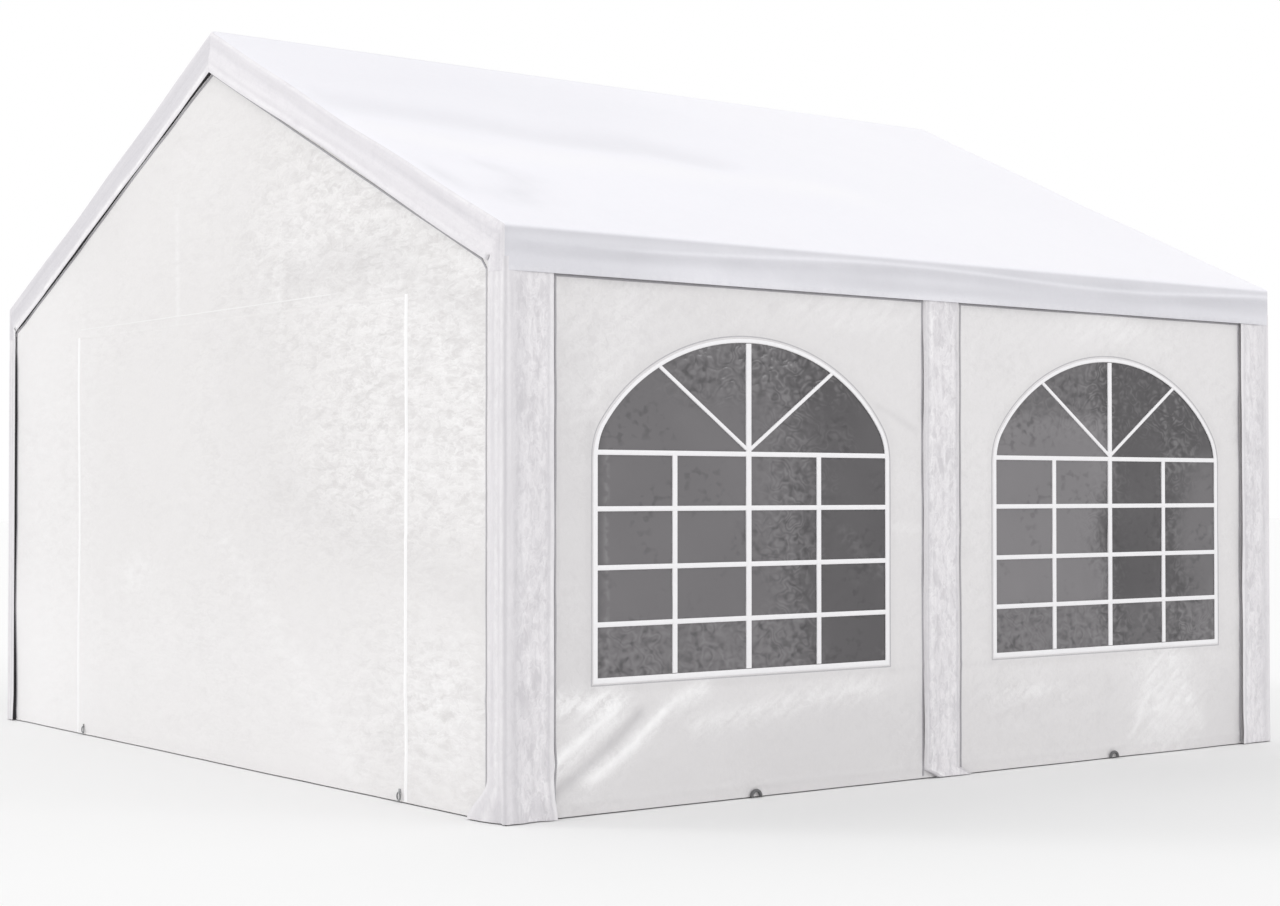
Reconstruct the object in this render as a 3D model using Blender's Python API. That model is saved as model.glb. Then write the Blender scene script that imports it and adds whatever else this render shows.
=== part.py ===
"""Marquee tent with window walls: a steel tube frame under a fabric cover.

Metres, +Z up, origin at the middle of the ground plan. The ridge runs along Y.
The door ends face -Y and +Y, and the window sides face +X and -X.
"""

import math

import bmesh
import bpy
from mathutils import Matrix, Vector

NAME = "marquee_tent"

# Overall size, to the outer faces of the fabric
WIDTH = 4.30
LENGTH = 4.06
EAVE_Z = 1.986
RIDGE_Z = 2.982

# Fabric
SKIN = 0.005
WALL = 0.004
GAP = 0.0003
HEM_Z = 0.003
SKIRT_BOTTOM_Z = 1.829
GABLE_SKIRT_CORNER_Z = 1.863
GABLE_SKIRT_PEAK_Z = 2.81
CORNER_SLEEVE_GABLE = 0.09
CORNER_SLEEVE_SIDE = 0.20
SLEEVE_FLARE_Z = 0.15
SLEEVE_FLARE = 0.11
MID_SLEEVE_WIDTH = 0.185
MID_SLEEVE_KICK_Z = 0.032
MID_SLEEVE_KICK = 0.065

# Walls, windows and doors
WALL_TOP_Z = 1.90
WALL_SEAM = 0.001
NEAR_WINDOW_Y = 0.965
FAR_WINDOW_Y = 0.983
WINDOW_HALF_WIDTH = 0.675
WINDOW_SILL_Z = 0.460
WINDOW_TOP_Z = 1.630
ARCH_CENTRE_Z = 1.000
ARCH_HALF_WIDTH = 0.750
ARCH_STEPS = 20
PANE = 0.002
DOOR_LEFT_X = -1.33
DOOR_RIGHT_X = 1.51
DOOR_TOP_Z = 1.79

# Frame
TUBE_R = 0.019
SOCKET_R = 0.021
ELBOW_R = 0.0206
TUBE_SIDES = 20
SOCKET_LENGTH = 0.060
LEG_SOCKET_LENGTH = 0.049
FOOT_SIDE = 0.100
FOOT_THICKNESS = 0.004
FOOT_SETBACK = 0.001

# Where the frame's axes lie
HALF_WIDTH = WIDTH / 2
HALF_LENGTH = LENGTH / 2
SLOPE = (RIDGE_Z - EAVE_Z) / HALF_WIDTH
PITCH = math.atan(SLOPE)
SIDE_WALL_X = HALF_WIDTH - 0.014
GABLE_WALL_Y = HALF_LENGTH - 0.014
LEG_X = SIDE_WALL_X - WALL - GAP - TUBE_R
LEG_Y = GABLE_WALL_Y - WALL - GAP - TUBE_R
RAFTER_DROP = (SKIN + GAP + SOCKET_R) / math.cos(PITCH)
RIDGE_AXIS_Z = RIDGE_Z - RAFTER_DROP
EAVE_AXIS_Z = RIDGE_AXIS_Z - SLOPE * LEG_X

# Colours from the photograph
WHITE_ROOF = (0.93, 0.94, 0.97)
WHITE_WALL = (0.86, 0.86, 0.86)
GREY_PVC = (0.16, 0.17, 0.18)
GALVANISED = (0.62, 0.64, 0.66)


def clear_scene():
    for obj in list(bpy.data.objects):
        bpy.data.objects.remove(obj, do_unlink=True)


def new_collection(name):
    collection = bpy.data.collections.new(name)
    bpy.context.scene.collection.children.link(collection)
    return collection


def new_material(name, colour, roughness, metallic=0.0):
    material = bpy.data.materials.new(name)
    material.use_nodes = True
    shader = material.node_tree.nodes["Principled BSDF"]
    shader.inputs["Base Color"].default_value = (*colour, 1.0)
    shader.inputs["Roughness"].default_value = roughness
    shader.inputs["Metallic"].default_value = metallic
    return material


def add_part(obj, material, parent):
    """Puts the object in the tent's collection, with its own copy of the material."""
    own = material.copy()
    own.name = obj.name + "_material"
    obj.data.materials.clear()
    obj.data.materials.append(own)
    for collection in list(obj.users_collection):
        collection.objects.unlink(obj)
    parts.objects.link(obj)
    obj.parent = parent
    return obj


def flat_outline(name, loops, thickness):
    """A flat sheet in the local XY plane, as thick as stated, centred on the plane."""
    curve = bpy.data.curves.new(name, "CURVE")
    curve.dimensions = "2D"
    curve.fill_mode = "BOTH"
    curve.extrude = thickness / 2
    for loop in loops:
        spline = curve.splines.new("POLY")
        spline.points.add(len(loop) - 1)
        for point, (u, v) in zip(spline.points, loop):
            point.co = (u, v, 0.0, 1.0)
        spline.use_cyclic_u = True
    obj = bpy.data.objects.new(name, curve)
    bpy.context.scene.collection.objects.link(obj)
    return obj


def facing_gable(obj, y_centre, turn=0.0):
    """Stands a flat outline up, its local X along world X and its local Y along world Z."""
    spin = Matrix.Rotation(turn, 4, "Z")
    place = Matrix.Translation((0.0, y_centre, 0.0)) @ Matrix.Rotation(math.pi / 2, 4, "X")
    obj.matrix_world = spin @ place
    return obj


def facing_side(obj, x_centre, turn=0.0):
    """Stands a flat outline up, its local X along world Y and its local Y along world Z."""
    spin = Matrix.Rotation(turn, 4, "Z")
    stand = Matrix.Rotation(math.pi / 2, 4, "Z") @ Matrix.Rotation(math.pi / 2, 4, "X")
    obj.matrix_world = spin @ Matrix.Translation((x_centre, 0.0, 0.0)) @ stand
    return obj


def tube(name, start, end, radius):
    """A straight tube between two points."""
    curve = bpy.data.curves.new(name, "CURVE")
    curve.dimensions = "3D"
    curve.bevel_depth = radius
    curve.bevel_resolution = 3
    curve.use_fill_caps = True
    spline = curve.splines.new("POLY")
    spline.points.add(1)
    middle = (Vector(start) + Vector(end)) / 2
    spline.points[0].co = (*(Vector(start) - middle), 1.0)
    spline.points[1].co = (*(Vector(end) - middle), 1.0)
    obj = bpy.data.objects.new(name, curve)
    obj.location = middle
    bpy.context.scene.collection.objects.link(obj)
    return obj


def cylinder(name, start, end, radius):
    """A closed cylinder between two points."""
    start = Vector(start)
    end = Vector(end)
    along = end - start
    mesh = bpy.data.meshes.new(name)
    shape = bmesh.new()
    bmesh.ops.create_cone(
        shape,
        cap_ends=True,
        segments=TUBE_SIDES,
        radius1=radius,
        radius2=radius,
        depth=along.length,
    )
    shape.to_mesh(mesh)
    shape.free()
    mesh.shade_smooth()
    mesh.set_sharp_from_angle(angle=math.radians(40))
    obj = bpy.data.objects.new(name, mesh)
    turn = along.to_track_quat("Z", "Y").to_matrix().to_4x4()
    obj.matrix_world = Matrix.Translation((start + end) / 2) @ turn
    bpy.context.scene.collection.objects.link(obj)
    return obj


def ball(name, centre, radius):
    """The round knuckle at a socket's bend."""
    mesh = bpy.data.meshes.new(name)
    shape = bmesh.new()
    bmesh.ops.create_uvsphere(shape, u_segments=TUBE_SIDES, v_segments=12, radius=radius)
    shape.to_mesh(mesh)
    shape.free()
    mesh.shade_smooth()
    obj = bpy.data.objects.new(name, mesh)
    obj.location = centre
    bpy.context.scene.collection.objects.link(obj)
    return obj


def box(name, low, high):
    low = Vector(low)
    high = Vector(high)
    mesh = bpy.data.meshes.new(name)
    shape = bmesh.new()
    bmesh.ops.create_cube(shape, size=1.0)
    bmesh.ops.scale(shape, vec=high - low, verts=shape.verts)
    shape.to_mesh(mesh)
    shape.free()
    obj = bpy.data.objects.new(name, mesh)
    obj.location = (low + high) / 2
    bpy.context.scene.collection.objects.link(obj)
    return obj


def as_mesh(obj):
    """The evaluated object as a plain mesh object, its caps welded, in the same place."""
    bpy.context.view_layer.update()
    graph = bpy.context.evaluated_depsgraph_get()
    mesh = bpy.data.meshes.new_from_object(obj.evaluated_get(graph))
    shape = bmesh.new()
    shape.from_mesh(mesh)
    bmesh.ops.remove_doubles(shape, verts=shape.verts, dist=0.00001)
    shape.to_mesh(mesh)
    shape.free()
    name = obj.name
    place = obj.matrix_world.copy()
    bpy.data.objects.remove(obj, do_unlink=True)
    solid = bpy.data.objects.new(name, mesh)
    solid.matrix_world = place
    bpy.context.scene.collection.objects.link(solid)
    return solid


def joined(base, others):
    """The base with the other shapes joined to it, as one closed body."""
    for index, other in enumerate(others):
        union = base.modifiers.new(f"join_{index}", "BOOLEAN")
        union.operation = "UNION"
        union.solver = "EXACT"
        union.object = other
    solid = as_mesh(base)
    solid.data.shade_smooth()
    solid.data.set_sharp_from_angle(angle=math.radians(40))
    for other in others:
        bpy.data.objects.remove(other, do_unlink=True)
    return solid


def roof_axis_point(x):
    """A point on the rafters' axis, as (x, z)."""
    return x, RIDGE_AXIS_Z - SLOPE * abs(x)


def roof_cover(name, side):
    """One slope of the roof with the skirt that hangs at its eave, run along the whole length."""
    drop = SKIN / math.cos(PITCH)
    inner_x = HALF_WIDTH - SKIN
    outline = [
        (side * GAP / 2, RIDGE_Z - SLOPE * GAP / 2),
        (side * GAP / 2, RIDGE_Z - drop - SLOPE * GAP / 2),
        (side * inner_x, RIDGE_Z - drop - SLOPE * inner_x),
        (side * inner_x, SKIRT_BOTTOM_Z),
        (side * HALF_WIDTH, SKIRT_BOTTOM_Z),
        (side * HALF_WIDTH, EAVE_Z),
    ]
    return facing_gable(flat_outline(name, [outline], LENGTH), 0.0)


def gable_skirt(name, turn):
    """The strip that hangs from the roof's edge across one door end."""
    drop = SKIN / math.cos(PITCH) + GAP / math.cos(PITCH)
    outer_x = HALF_WIDTH - SKIN - GAP
    lower_x = HALF_WIDTH - CORNER_SLEEVE_GABLE
    half = [
        (0.0, RIDGE_Z - drop),
        (outer_x, RIDGE_Z - drop - SLOPE * outer_x),
        (outer_x, SKIRT_BOTTOM_Z),
        (lower_x, SKIRT_BOTTOM_Z),
        (lower_x, GABLE_SKIRT_CORNER_Z),
        (0.0, GABLE_SKIRT_PEAK_Z),
    ]
    mirrored = [(-x, z) for x, z in reversed(half[1:-1])]
    obj = flat_outline(name, [half + mirrored], SKIN)
    return facing_gable(obj, -(HALF_LENGTH - SKIN / 2), turn)


def corner_sleeve(name, turn, side):
    """The L-shaped sleeve over a corner leg. The one at a door end's right spreads over its foot."""
    top = SKIRT_BOTTOM_Z - GAP
    inner = HALF_WIDTH - CORNER_SLEEVE_GABLE
    gable_face = [(side * HALF_WIDTH, HEM_Z), (side * HALF_WIDTH, top), (side * inner, top)]
    if side > 0:
        gable_face.append((inner, SLEEVE_FLARE_Z))
        gable_face.append((inner - 0.35 * SLEEVE_FLARE, 0.45 * SLEEVE_FLARE_Z))
        gable_face.append((inner - SLEEVE_FLARE, HEM_Z))
    else:
        gable_face.append((-inner, HEM_Z))
    front = flat_outline(name, [gable_face], SKIN)
    front = as_mesh(facing_gable(front, -(HALF_LENGTH - SKIN / 2), turn))
    side_face = [
        (-HALF_LENGTH, HEM_Z),
        (-HALF_LENGTH + CORNER_SLEEVE_SIDE, HEM_Z),
        (-HALF_LENGTH + CORNER_SLEEVE_SIDE, top),
        (-HALF_LENGTH, top),
    ]
    flank = flat_outline(name + "_flank", [side_face], SKIN)
    flank = as_mesh(facing_side(flank, side * (HALF_WIDTH - SKIN / 2), turn))
    return joined(front, [flank])


def mid_sleeve(name, turn):
    """The flat sleeve over a middle leg, its lowest part kicked to one side."""
    half = MID_SLEEVE_WIDTH / 2
    outline = [
        (-half, SKIRT_BOTTOM_Z - GAP),
        (-half, MID_SLEEVE_KICK_Z),
        (-half + MID_SLEEVE_KICK, HEM_Z),
        (half + MID_SLEEVE_KICK, HEM_Z),
        (half, MID_SLEEVE_KICK_Z),
        (half, SKIRT_BOTTOM_Z - GAP),
    ]
    obj = flat_outline(name, [outline], SKIN)
    return facing_side(obj, HALF_WIDTH - SKIN / 2, turn)


def window_outline(centre, inset):
    """The window, drawn in by an inset: straight jambs, cut off above by an arch wider than they are."""
    half = WINDOW_HALF_WIDTH - inset
    arch_half = ARCH_HALF_WIDTH - inset
    rise = WINDOW_TOP_Z - ARCH_CENTRE_Z - inset
    first = math.acos(half / arch_half)
    points = [(centre - half, WINDOW_SILL_Z + inset), (centre + half, WINDOW_SILL_Z + inset)]
    for step in range(ARCH_STEPS + 1):
        angle = first + (math.pi - 2 * first) * step / ARCH_STEPS
        across = centre + arch_half * math.cos(angle)
        points.append((across, ARCH_CENTRE_Z + rise * math.sin(angle)))
    return points


def window_wall(name, turn, start, end, centre):
    """One wall panel of a window side, with the window cut through it."""
    panel = [(start, HEM_Z), (end, HEM_Z), (end, WALL_TOP_Z), (start, WALL_TOP_Z)]
    obj = flat_outline(name, [panel, window_outline(centre, 0.0)], WALL)
    return facing_side(obj, SIDE_WALL_X - WALL / 2, turn)


def window_pane(name, turn, centre):
    obj = flat_outline(name, [window_outline(centre, GAP)], PANE)
    return facing_side(obj, SIDE_WALL_X - WALL / 2, turn)


def gable_wall(name, turn):
    """The wall of one door end, open where the door flap hangs."""
    edge = LEG_X + TUBE_R
    peak = WALL_TOP_Z + SLOPE * edge
    outline = [
        (-edge, HEM_Z),
        (DOOR_LEFT_X, HEM_Z),
        (DOOR_LEFT_X, DOOR_TOP_Z),
        (DOOR_RIGHT_X, DOOR_TOP_Z),
        (DOOR_RIGHT_X, HEM_Z),
        (edge, HEM_Z),
        (edge, WALL_TOP_Z),
        (0.0, peak),
        (-edge, WALL_TOP_Z),
    ]
    obj = flat_outline(name, [outline], WALL)
    return facing_gable(obj, -(GABLE_WALL_Y - WALL / 2), turn)


def door_flap(name, turn):
    left = DOOR_LEFT_X + GAP
    right = DOOR_RIGHT_X - GAP
    top = DOOR_TOP_Z - GAP
    outline = [(left, HEM_Z), (right, HEM_Z), (right, top), (left, top)]
    obj = flat_outline(name, [outline], WALL)
    return facing_gable(obj, -(GABLE_WALL_Y - WALL / 2), turn)


def leg(name, x, y):
    """A leg tube with its square foot plate, set in from the walls."""
    reach = TUBE_R - FOOT_SETBACK - FOOT_SIDE / 2
    plate_x = x + math.copysign(reach, -x)
    plate_y = y
    if y != 0.0:
        plate_y = y + math.copysign(reach, -y)
    half = FOOT_SIDE / 2
    top = EAVE_AXIS_Z - LEG_SOCKET_LENGTH - GAP
    post = cylinder(name, (x, y, FOOT_THICKNESS / 2), (x, y, top), TUBE_R)
    plate = box(
        name + "_plate",
        (plate_x - half, plate_y - half, 0.0),
        (plate_x + half, plate_y + half, FOOT_THICKNESS),
    )
    return joined(post, [plate])


def eave_connector(name, x, y):
    """The socket piece on a leg, with arms up the rafter and along the eave."""
    side = math.copysign(1.0, x)
    centre = Vector((x, y, EAVE_AXIS_Z))
    down = cylinder(name, centre, centre - Vector((0.0, 0.0, LEG_SOCKET_LENGTH)), SOCKET_R)
    rise = Vector((-side * math.cos(PITCH), 0.0, math.sin(PITCH))) * SOCKET_LENGTH
    arms = [
        ball(name + "_knuckle", centre, ELBOW_R),
        cylinder(name + "_rafter_arm", centre, centre + rise, SOCKET_R),
    ]
    start = centre.copy()
    end = centre.copy()
    if y <= 0.0:
        end.y += SOCKET_LENGTH
    if y >= 0.0:
        start.y -= SOCKET_LENGTH
    arms.append(cylinder(name + "_rail_arm", start, end, SOCKET_R))
    return joined(down, arms)


def ridge_connector(name, y):
    """The socket piece at the ridge, with arms down both rafters and along the ridge."""
    centre = Vector((0.0, y, RIDGE_AXIS_Z))
    right = Vector((math.cos(PITCH), 0.0, -math.sin(PITCH))) * SOCKET_LENGTH
    left = Vector((-math.cos(PITCH), 0.0, -math.sin(PITCH))) * SOCKET_LENGTH
    base = cylinder(name, centre, centre + right, SOCKET_R)
    arms = [
        ball(name + "_knuckle", centre, ELBOW_R),
        cylinder(name + "_left_arm", centre, centre + left, SOCKET_R),
    ]
    start = centre.copy()
    end = centre.copy()
    if y <= 0.0:
        end.y += SOCKET_LENGTH
    if y >= 0.0:
        start.y -= SOCKET_LENGTH
    arms.append(cylinder(name + "_rail_arm", start, end, SOCKET_R))
    return joined(base, arms)


def rafter(name, side, y):
    reach = (SOCKET_LENGTH + GAP) * math.cos(PITCH)
    upper_x, upper_z = roof_axis_point(side * reach)
    lower_x, lower_z = roof_axis_point(side * (LEG_X - reach))
    return tube(name, (upper_x, y, upper_z), (lower_x, y, lower_z), TUBE_R)


def rail(name, x, z, start_y, end_y):
    reach = SOCKET_LENGTH + GAP
    return tube(name, (x, start_y + reach, z), (x, end_y - reach, z), TUBE_R)


clear_scene()
parts = new_collection(NAME)
tent = bpy.data.objects.new("tent_origin", None)
parts.objects.link(tent)

roof_fabric = new_material("roof_fabric", WHITE_ROOF, 0.55)
wall_fabric = new_material("wall_fabric", WHITE_WALL, 0.60)
window_pvc = new_material("window_pvc", GREY_PVC, 0.15)
frame_steel = new_material("frame_steel", GALVANISED, 0.40, 1.0)

for side_name, side in (("right", 1), ("left", -1)):
    add_part(roof_cover(f"roof_cover_{side_name}", side), roof_fabric, tent)

for end_name, turn in (("front", 0.0), ("back", math.pi)):
    add_part(gable_skirt(f"gable_skirt_{end_name}", turn), roof_fabric, tent)
    add_part(gable_wall(f"gable_wall_{end_name}", turn), wall_fabric, tent)
    add_part(door_flap(f"door_flap_{end_name}", turn), wall_fabric, tent)

corners = (
    ("front_right", 0.0, 1),
    ("front_left", 0.0, -1),
    ("back_left", math.pi, 1),
    ("back_right", math.pi, -1),
)
for place, turn, side in corners:
    add_part(corner_sleeve(f"corner_sleeve_{place}", turn, side), roof_fabric, tent)

for side_name, turn, near, far in (("right", 0.0, "front", "back"), ("left", math.pi, "back", "front")):
    edge = LEG_Y + TUBE_R
    add_part(mid_sleeve(f"mid_sleeve_{side_name}", turn), roof_fabric, tent)
    near_wall = window_wall(
        f"window_wall_{side_name}_{near}", turn, -edge, -WALL_SEAM, -NEAR_WINDOW_Y
    )
    far_wall = window_wall(f"window_wall_{side_name}_{far}", turn, WALL_SEAM, edge, FAR_WINDOW_Y)
    add_part(near_wall, wall_fabric, tent)
    add_part(far_wall, wall_fabric, tent)
    near_pane = window_pane(f"window_pane_{side_name}_{near}", turn, -NEAR_WINDOW_Y)
    far_pane = window_pane(f"window_pane_{side_name}_{far}", turn, FAR_WINDOW_Y)
    add_part(near_pane, window_pvc, tent)
    add_part(far_pane, window_pvc, tent)

bays = (("front", -LEG_Y), ("middle", 0.0), ("back", LEG_Y))
for bay, y in bays:
    add_part(ridge_connector(f"ridge_connector_{bay}", y), frame_steel, tent)
    for side_name, side in (("right", 1), ("left", -1)):
        place = f"{bay}_{side_name}"
        add_part(leg(f"leg_{place}", side * LEG_X, y), frame_steel, tent)
        connector = eave_connector(f"eave_connector_{place}", side * LEG_X, y)
        add_part(connector, frame_steel, tent)
        add_part(rafter(f"rafter_{place}", side, y), frame_steel, tent)

for half, start_y, end_y in (("front", -LEG_Y, 0.0), ("back", 0.0, LEG_Y)):
    add_part(rail(f"ridge_rail_{half}", 0.0, RIDGE_AXIS_Z, start_y, end_y), frame_steel, tent)
    for side_name, side in (("right", 1), ("left", -1)):
        name = f"eave_rail_{half}_{side_name}"
        add_part(rail(name, side * LEG_X, EAVE_AXIS_Z, start_y, end_y), frame_steel, tent)
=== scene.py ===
"""Looks for the marquee tent: fabric sheets, windows, zips, loops, steel, floor, light and camera."""

import math

import bmesh
import bpy
import numpy as np
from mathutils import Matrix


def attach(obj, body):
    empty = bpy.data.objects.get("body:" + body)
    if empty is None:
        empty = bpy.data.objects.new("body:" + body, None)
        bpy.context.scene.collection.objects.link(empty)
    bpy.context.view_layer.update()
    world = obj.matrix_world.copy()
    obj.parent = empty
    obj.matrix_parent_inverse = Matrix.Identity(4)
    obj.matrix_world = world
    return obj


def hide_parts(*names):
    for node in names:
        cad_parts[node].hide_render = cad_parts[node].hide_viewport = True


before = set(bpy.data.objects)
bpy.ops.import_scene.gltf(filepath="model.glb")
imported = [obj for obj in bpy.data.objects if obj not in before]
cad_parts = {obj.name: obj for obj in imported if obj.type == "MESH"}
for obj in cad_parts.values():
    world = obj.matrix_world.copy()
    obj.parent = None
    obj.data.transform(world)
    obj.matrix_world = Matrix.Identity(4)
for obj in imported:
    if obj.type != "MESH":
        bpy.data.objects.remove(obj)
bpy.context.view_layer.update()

# Sizes that follow the solids, in metres
HALF_WIDTH = 2.15
HALF_LENGTH = 2.03
EAVE_Z = 1.986
RIDGE_Z = 2.982
SLOPE = (RIDGE_Z - EAVE_Z) / HALF_WIDTH
PITCH = math.atan(SLOPE)
HEM_Z = 0.003
SKIRT_Z = 1.829
GABLE_CORNER_Z = 1.863
GABLE_PEAK_Z = 2.81
SIDE_WALL_X = 2.136
GABLE_WALL_Y = 2.016
WALL_TOP_Z = 1.90
WALL_EDGE = 2.0115
GABLE_EDGE = 2.1312
SLEEVE_TOP_Z = 1.875
SLEEVE_GABLE = 0.09
SLEEVE_SIDE = 0.20
MID_SLEEVE = 0.0927
DOOR_LEFT = -1.33
DOOR_RIGHT = 1.51
DOOR_TOP = 1.79
LEG_Y = 1.9927

# Windows: straight jambs, cut off above by an arch wider than they are
WINDOWS = {"near": -0.965, "far": 0.983}
WINDOW_HALF = 0.675
SILL_Z = 0.460
MIDDLE_Z = 1.0
RAIL_Z = 1.231
ARCH_Z = 1.000
ARCH_HALF = 0.750
ARCH_RISE = 0.630
FILM_LAP = 0.006

# Cloth: how deep the roof's outline lies in its solids, the radius of turned edges, the thickness of sheeting and
# of film and of the strips that paint shadow in gaps, the deepest dip of a wall, and how sharp its drawn folds are
LIE = 0.0015
EDGE_R = 0.020
CLOTH = 0.0012
THIN = 0.0008
RELIEF_LOW = -0.0028
FOLD_SHARPNESS = 1.4

# The middle, the ends and the sides. A turn of -1 puts a piece on the other side of the tent by half a turn. A side
# also has the end that its first bay is at, and the end that its second bay is at.
TENT_MIDDLE = np.array([0.0, 0.0, 1.0])
ENDS = (("front", 1.0), ("back", -1.0))
SIDES = (("right", 1.0, "front", "back"), ("left", -1.0, "back", "front"))


# Shapes in numbers

def smooth(low, high, value):
    """Rises from 0 at low to 1 at high along a smooth S curve."""
    t = np.clip((value - low) / (high - low), 0.0, 1.0)
    return t * t * (3.0 - 2.0 * t)


def bell(value, centre, width):
    """A rounded hump: one at the centre, fading over the width on both sides."""
    return np.exp(-((value - centre) / width) ** 2)


def bells(value, *rows):
    """Rounded humps added up, each given as its strength, its centre and its width."""
    return sum(strength * bell(value, *hump) for strength, *hump in rows)


def buckles(a, b, seed, longest, count=9):
    """An uneven surface between about -1 and 1: plane waves of seeded directions, lengths and phases, added up."""
    rng = np.random.default_rng(seed)
    waves = np.zeros(np.broadcast(a, b).shape)
    weight = 0.0
    for _ in range(count):
        angle = rng.uniform(0.0, math.pi)
        length = longest * rng.uniform(0.25, 1.0)
        phase = rng.uniform(0.0, 2.0 * math.pi)
        size = length / longest
        along = a * math.cos(angle) + b * math.sin(angle)
        waves = waves + size * np.sin(2.0 * math.pi * along / length + phase)
        weight += size * size
    return waves / math.sqrt(2.0 * weight)


def crease(a, b, path, width, sharpness=2.0):
    """A soft band along a path of straight runs: one on the path, fading with the distance from its nearest run."""
    nearest = np.full(np.broadcast(a, b).shape, np.inf)
    for (a0, b0), (a1, b1) in zip(path[:-1], path[1:]):
        da, db = a1 - a0, b1 - b0
        along = np.clip(((a - a0) * da + (b - b0) * db) / (da * da + db * db), 0.0, 1.0)
        nearest = np.minimum(nearest, np.hypot(a - a0 - along * da, b - b0 - along * db))
    return np.exp(-(nearest / width) ** sharpness)


def creases(a, b, *rows):
    """Soft bands added up, each given as its strength, its path, its width and, where it isn't 2, its sharpness."""
    return sum(strength * crease(a, b, *band) for strength, *band in rows)


def patch(a, b, centre, size):
    """A soft oval patch: one in its middle, fading over its size both ways."""
    return np.exp(-((a - centre[0]) / size[0]) ** 2 - ((b - centre[1]) / size[1]) ** 2)


def patches(a, b, *rows):
    """Soft ovals added up, each given as its strength, its centre and its size."""
    return sum(strength * patch(a, b, *oval) for strength, *oval in rows)


def stacked(*values):
    """The values stretched to one shape and joined, as the coordinates of points."""
    return np.stack(np.broadcast_arrays(*values), axis=-1)


def added_up(steps):
    """Distances along a line of points, from the steps between them."""
    return np.concatenate([[0.0], np.cumsum(steps)])


def turned(points, turn):
    """The points after half a turn about the vertical where turn is -1, or as they are where it is 1."""
    return points * np.array([turn, turn, 1.0])


def grid_faces(rows, cols, wrap_rows=False, wrap_cols=False):
    """The four-cornered faces between neighbouring rows and columns of a grid of points."""
    r, c = np.meshgrid(
        np.arange(rows if wrap_rows else rows - 1),
        np.arange(cols if wrap_cols else cols - 1),
        indexing="ij",
    )
    r2 = (r + 1) % rows
    c2 = (c + 1) % cols
    return stacked(r * cols + c, r * cols + c2, r2 * cols + c2, r2 * cols + c).reshape(-1, 4)


def faces_outward(points, faces):
    """The faces turned so that most of them look away from the middle of the tent."""
    a, b, c, d = (points[faces[:, i]] for i in range(4))
    normal = np.cross(c - a, d - b)
    away = (a + b + c + d) / 4.0 - TENT_MIDDLE
    return faces if (normal * away).sum() > 0.0 else faces[:, ::-1]


def flat_area(uv, faces):
    """The area of the cut cloth, from its own flat coordinates."""
    a, b, c, d = (uv[faces[:, i]] for i in range(4))
    p = c - a
    q = d - b
    return float(np.abs(p[:, 0] * q[:, 1] - p[:, 1] * q[:, 0]).sum() / 2.0)


# Pieces

def linked(name, data):
    """A new object of the scene for a mesh, light or camera."""
    obj = bpy.data.objects.new(name, data)
    bpy.context.scene.collection.objects.link(obj)
    return obj


def dressed(obj, finish):
    """The object with its finish, riding on the root body."""
    obj.data.materials.append(finish)
    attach(obj, "root")
    return obj


def new_sheet(name, points, faces, finish, thickness, offset=-1.0, uv=None):
    """A smooth sheet of four-cornered faces, its border edges sharp so that its rim doesn't darken it. Its thickness
    is on its inner side, or on both sides where the offset is 0."""
    mesh = bpy.data.meshes.new(name)
    mesh.from_pydata(points.tolist(), [], faces.tolist())
    if uv is not None:
        corners = np.empty(len(mesh.loops), np.int32)
        mesh.loops.foreach_get("vertex_index", corners)
        layer = mesh.uv_layers.new(name="cloth")
        layer.data.foreach_set("uv", uv[corners].astype(np.float32).ravel())
    mesh.shade_smooth()
    sides = np.empty(len(mesh.loops), np.int32)
    mesh.loops.foreach_get("edge_index", sides)
    sharp = mesh.attributes.new("sharp_edge", "BOOLEAN", "EDGE")
    sharp.data.foreach_set("value", np.bincount(sides, minlength=len(mesh.edges)) == 1)
    obj = linked(name, mesh)
    skin = obj.modifiers.new("thickness", "SOLIDIFY")
    skin.thickness = thickness
    skin.offset = offset
    return dressed(obj, finish)


def cloth_piece(name, grid, uv, finish, nodes, marks,
                keep=None, closed=False, thickness=CLOTH):
    """A sheet of cloth from a grid of points, with its marks (painted shade and light, painted highlights, crumple)
    and its thickness on the inner side."""
    rows, cols = grid.shape[:2]
    points = grid.reshape(-1, 3)
    faces = grid_faces(rows, cols, wrap_cols=closed)
    if keep is not None:
        faces = faces[keep.reshape(-1)]
    faces = faces_outward(points, faces)
    used = np.unique(faces)
    index = np.full(len(points), -1)
    index[used] = np.arange(len(used))
    faces = index[faces]
    flat = uv.reshape(-1, 2)[used]
    obj = new_sheet(name, points[used], faces, finish, thickness, uv=flat)
    # The marks are painted shade and light, painted highlights, and the amount of crumpling
    for mark, values in zip(("shade", "painted_highlight", "crumple"), marks):
        layer = obj.data.attributes.new(mark, "FLOAT", "POINT")
        spread = np.broadcast_to(values, (rows, cols)).reshape(-1)[used]
        layer.data.foreach_set("value", np.clip(spread, -1.0, 1.0).astype(np.float32))
    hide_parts(*nodes)
    width, height = (float(side) for side in flat.max(axis=0) - flat.min(axis=0))
    min(flat_area(flat, faces), width * height)
    return obj


def solid_piece(name, shells, put, turn, finish):
    """A closed piece from several closed shells, put on its wall, its faces turned outward and shaded smooth but for
    sharp edges."""
    points = []
    faces = []
    start = 0
    for local, quads, caps in shells:
        points.append(put(local, turn))
        faces += (quads + start).tolist() + (caps + start).tolist()
        start += len(local)
    mesh = bpy.data.meshes.new(name)
    mesh.from_pydata(np.concatenate(points).tolist(), [], faces)
    shape = bmesh.new()
    shape.from_mesh(mesh)
    bmesh.ops.recalc_face_normals(shape, faces=shape.faces)
    shape.to_mesh(mesh)
    shape.free()
    mesh.shade_smooth()
    mesh.set_sharp_from_angle(angle=math.radians(38))
    return dressed(linked(name, mesh), finish)


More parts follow.
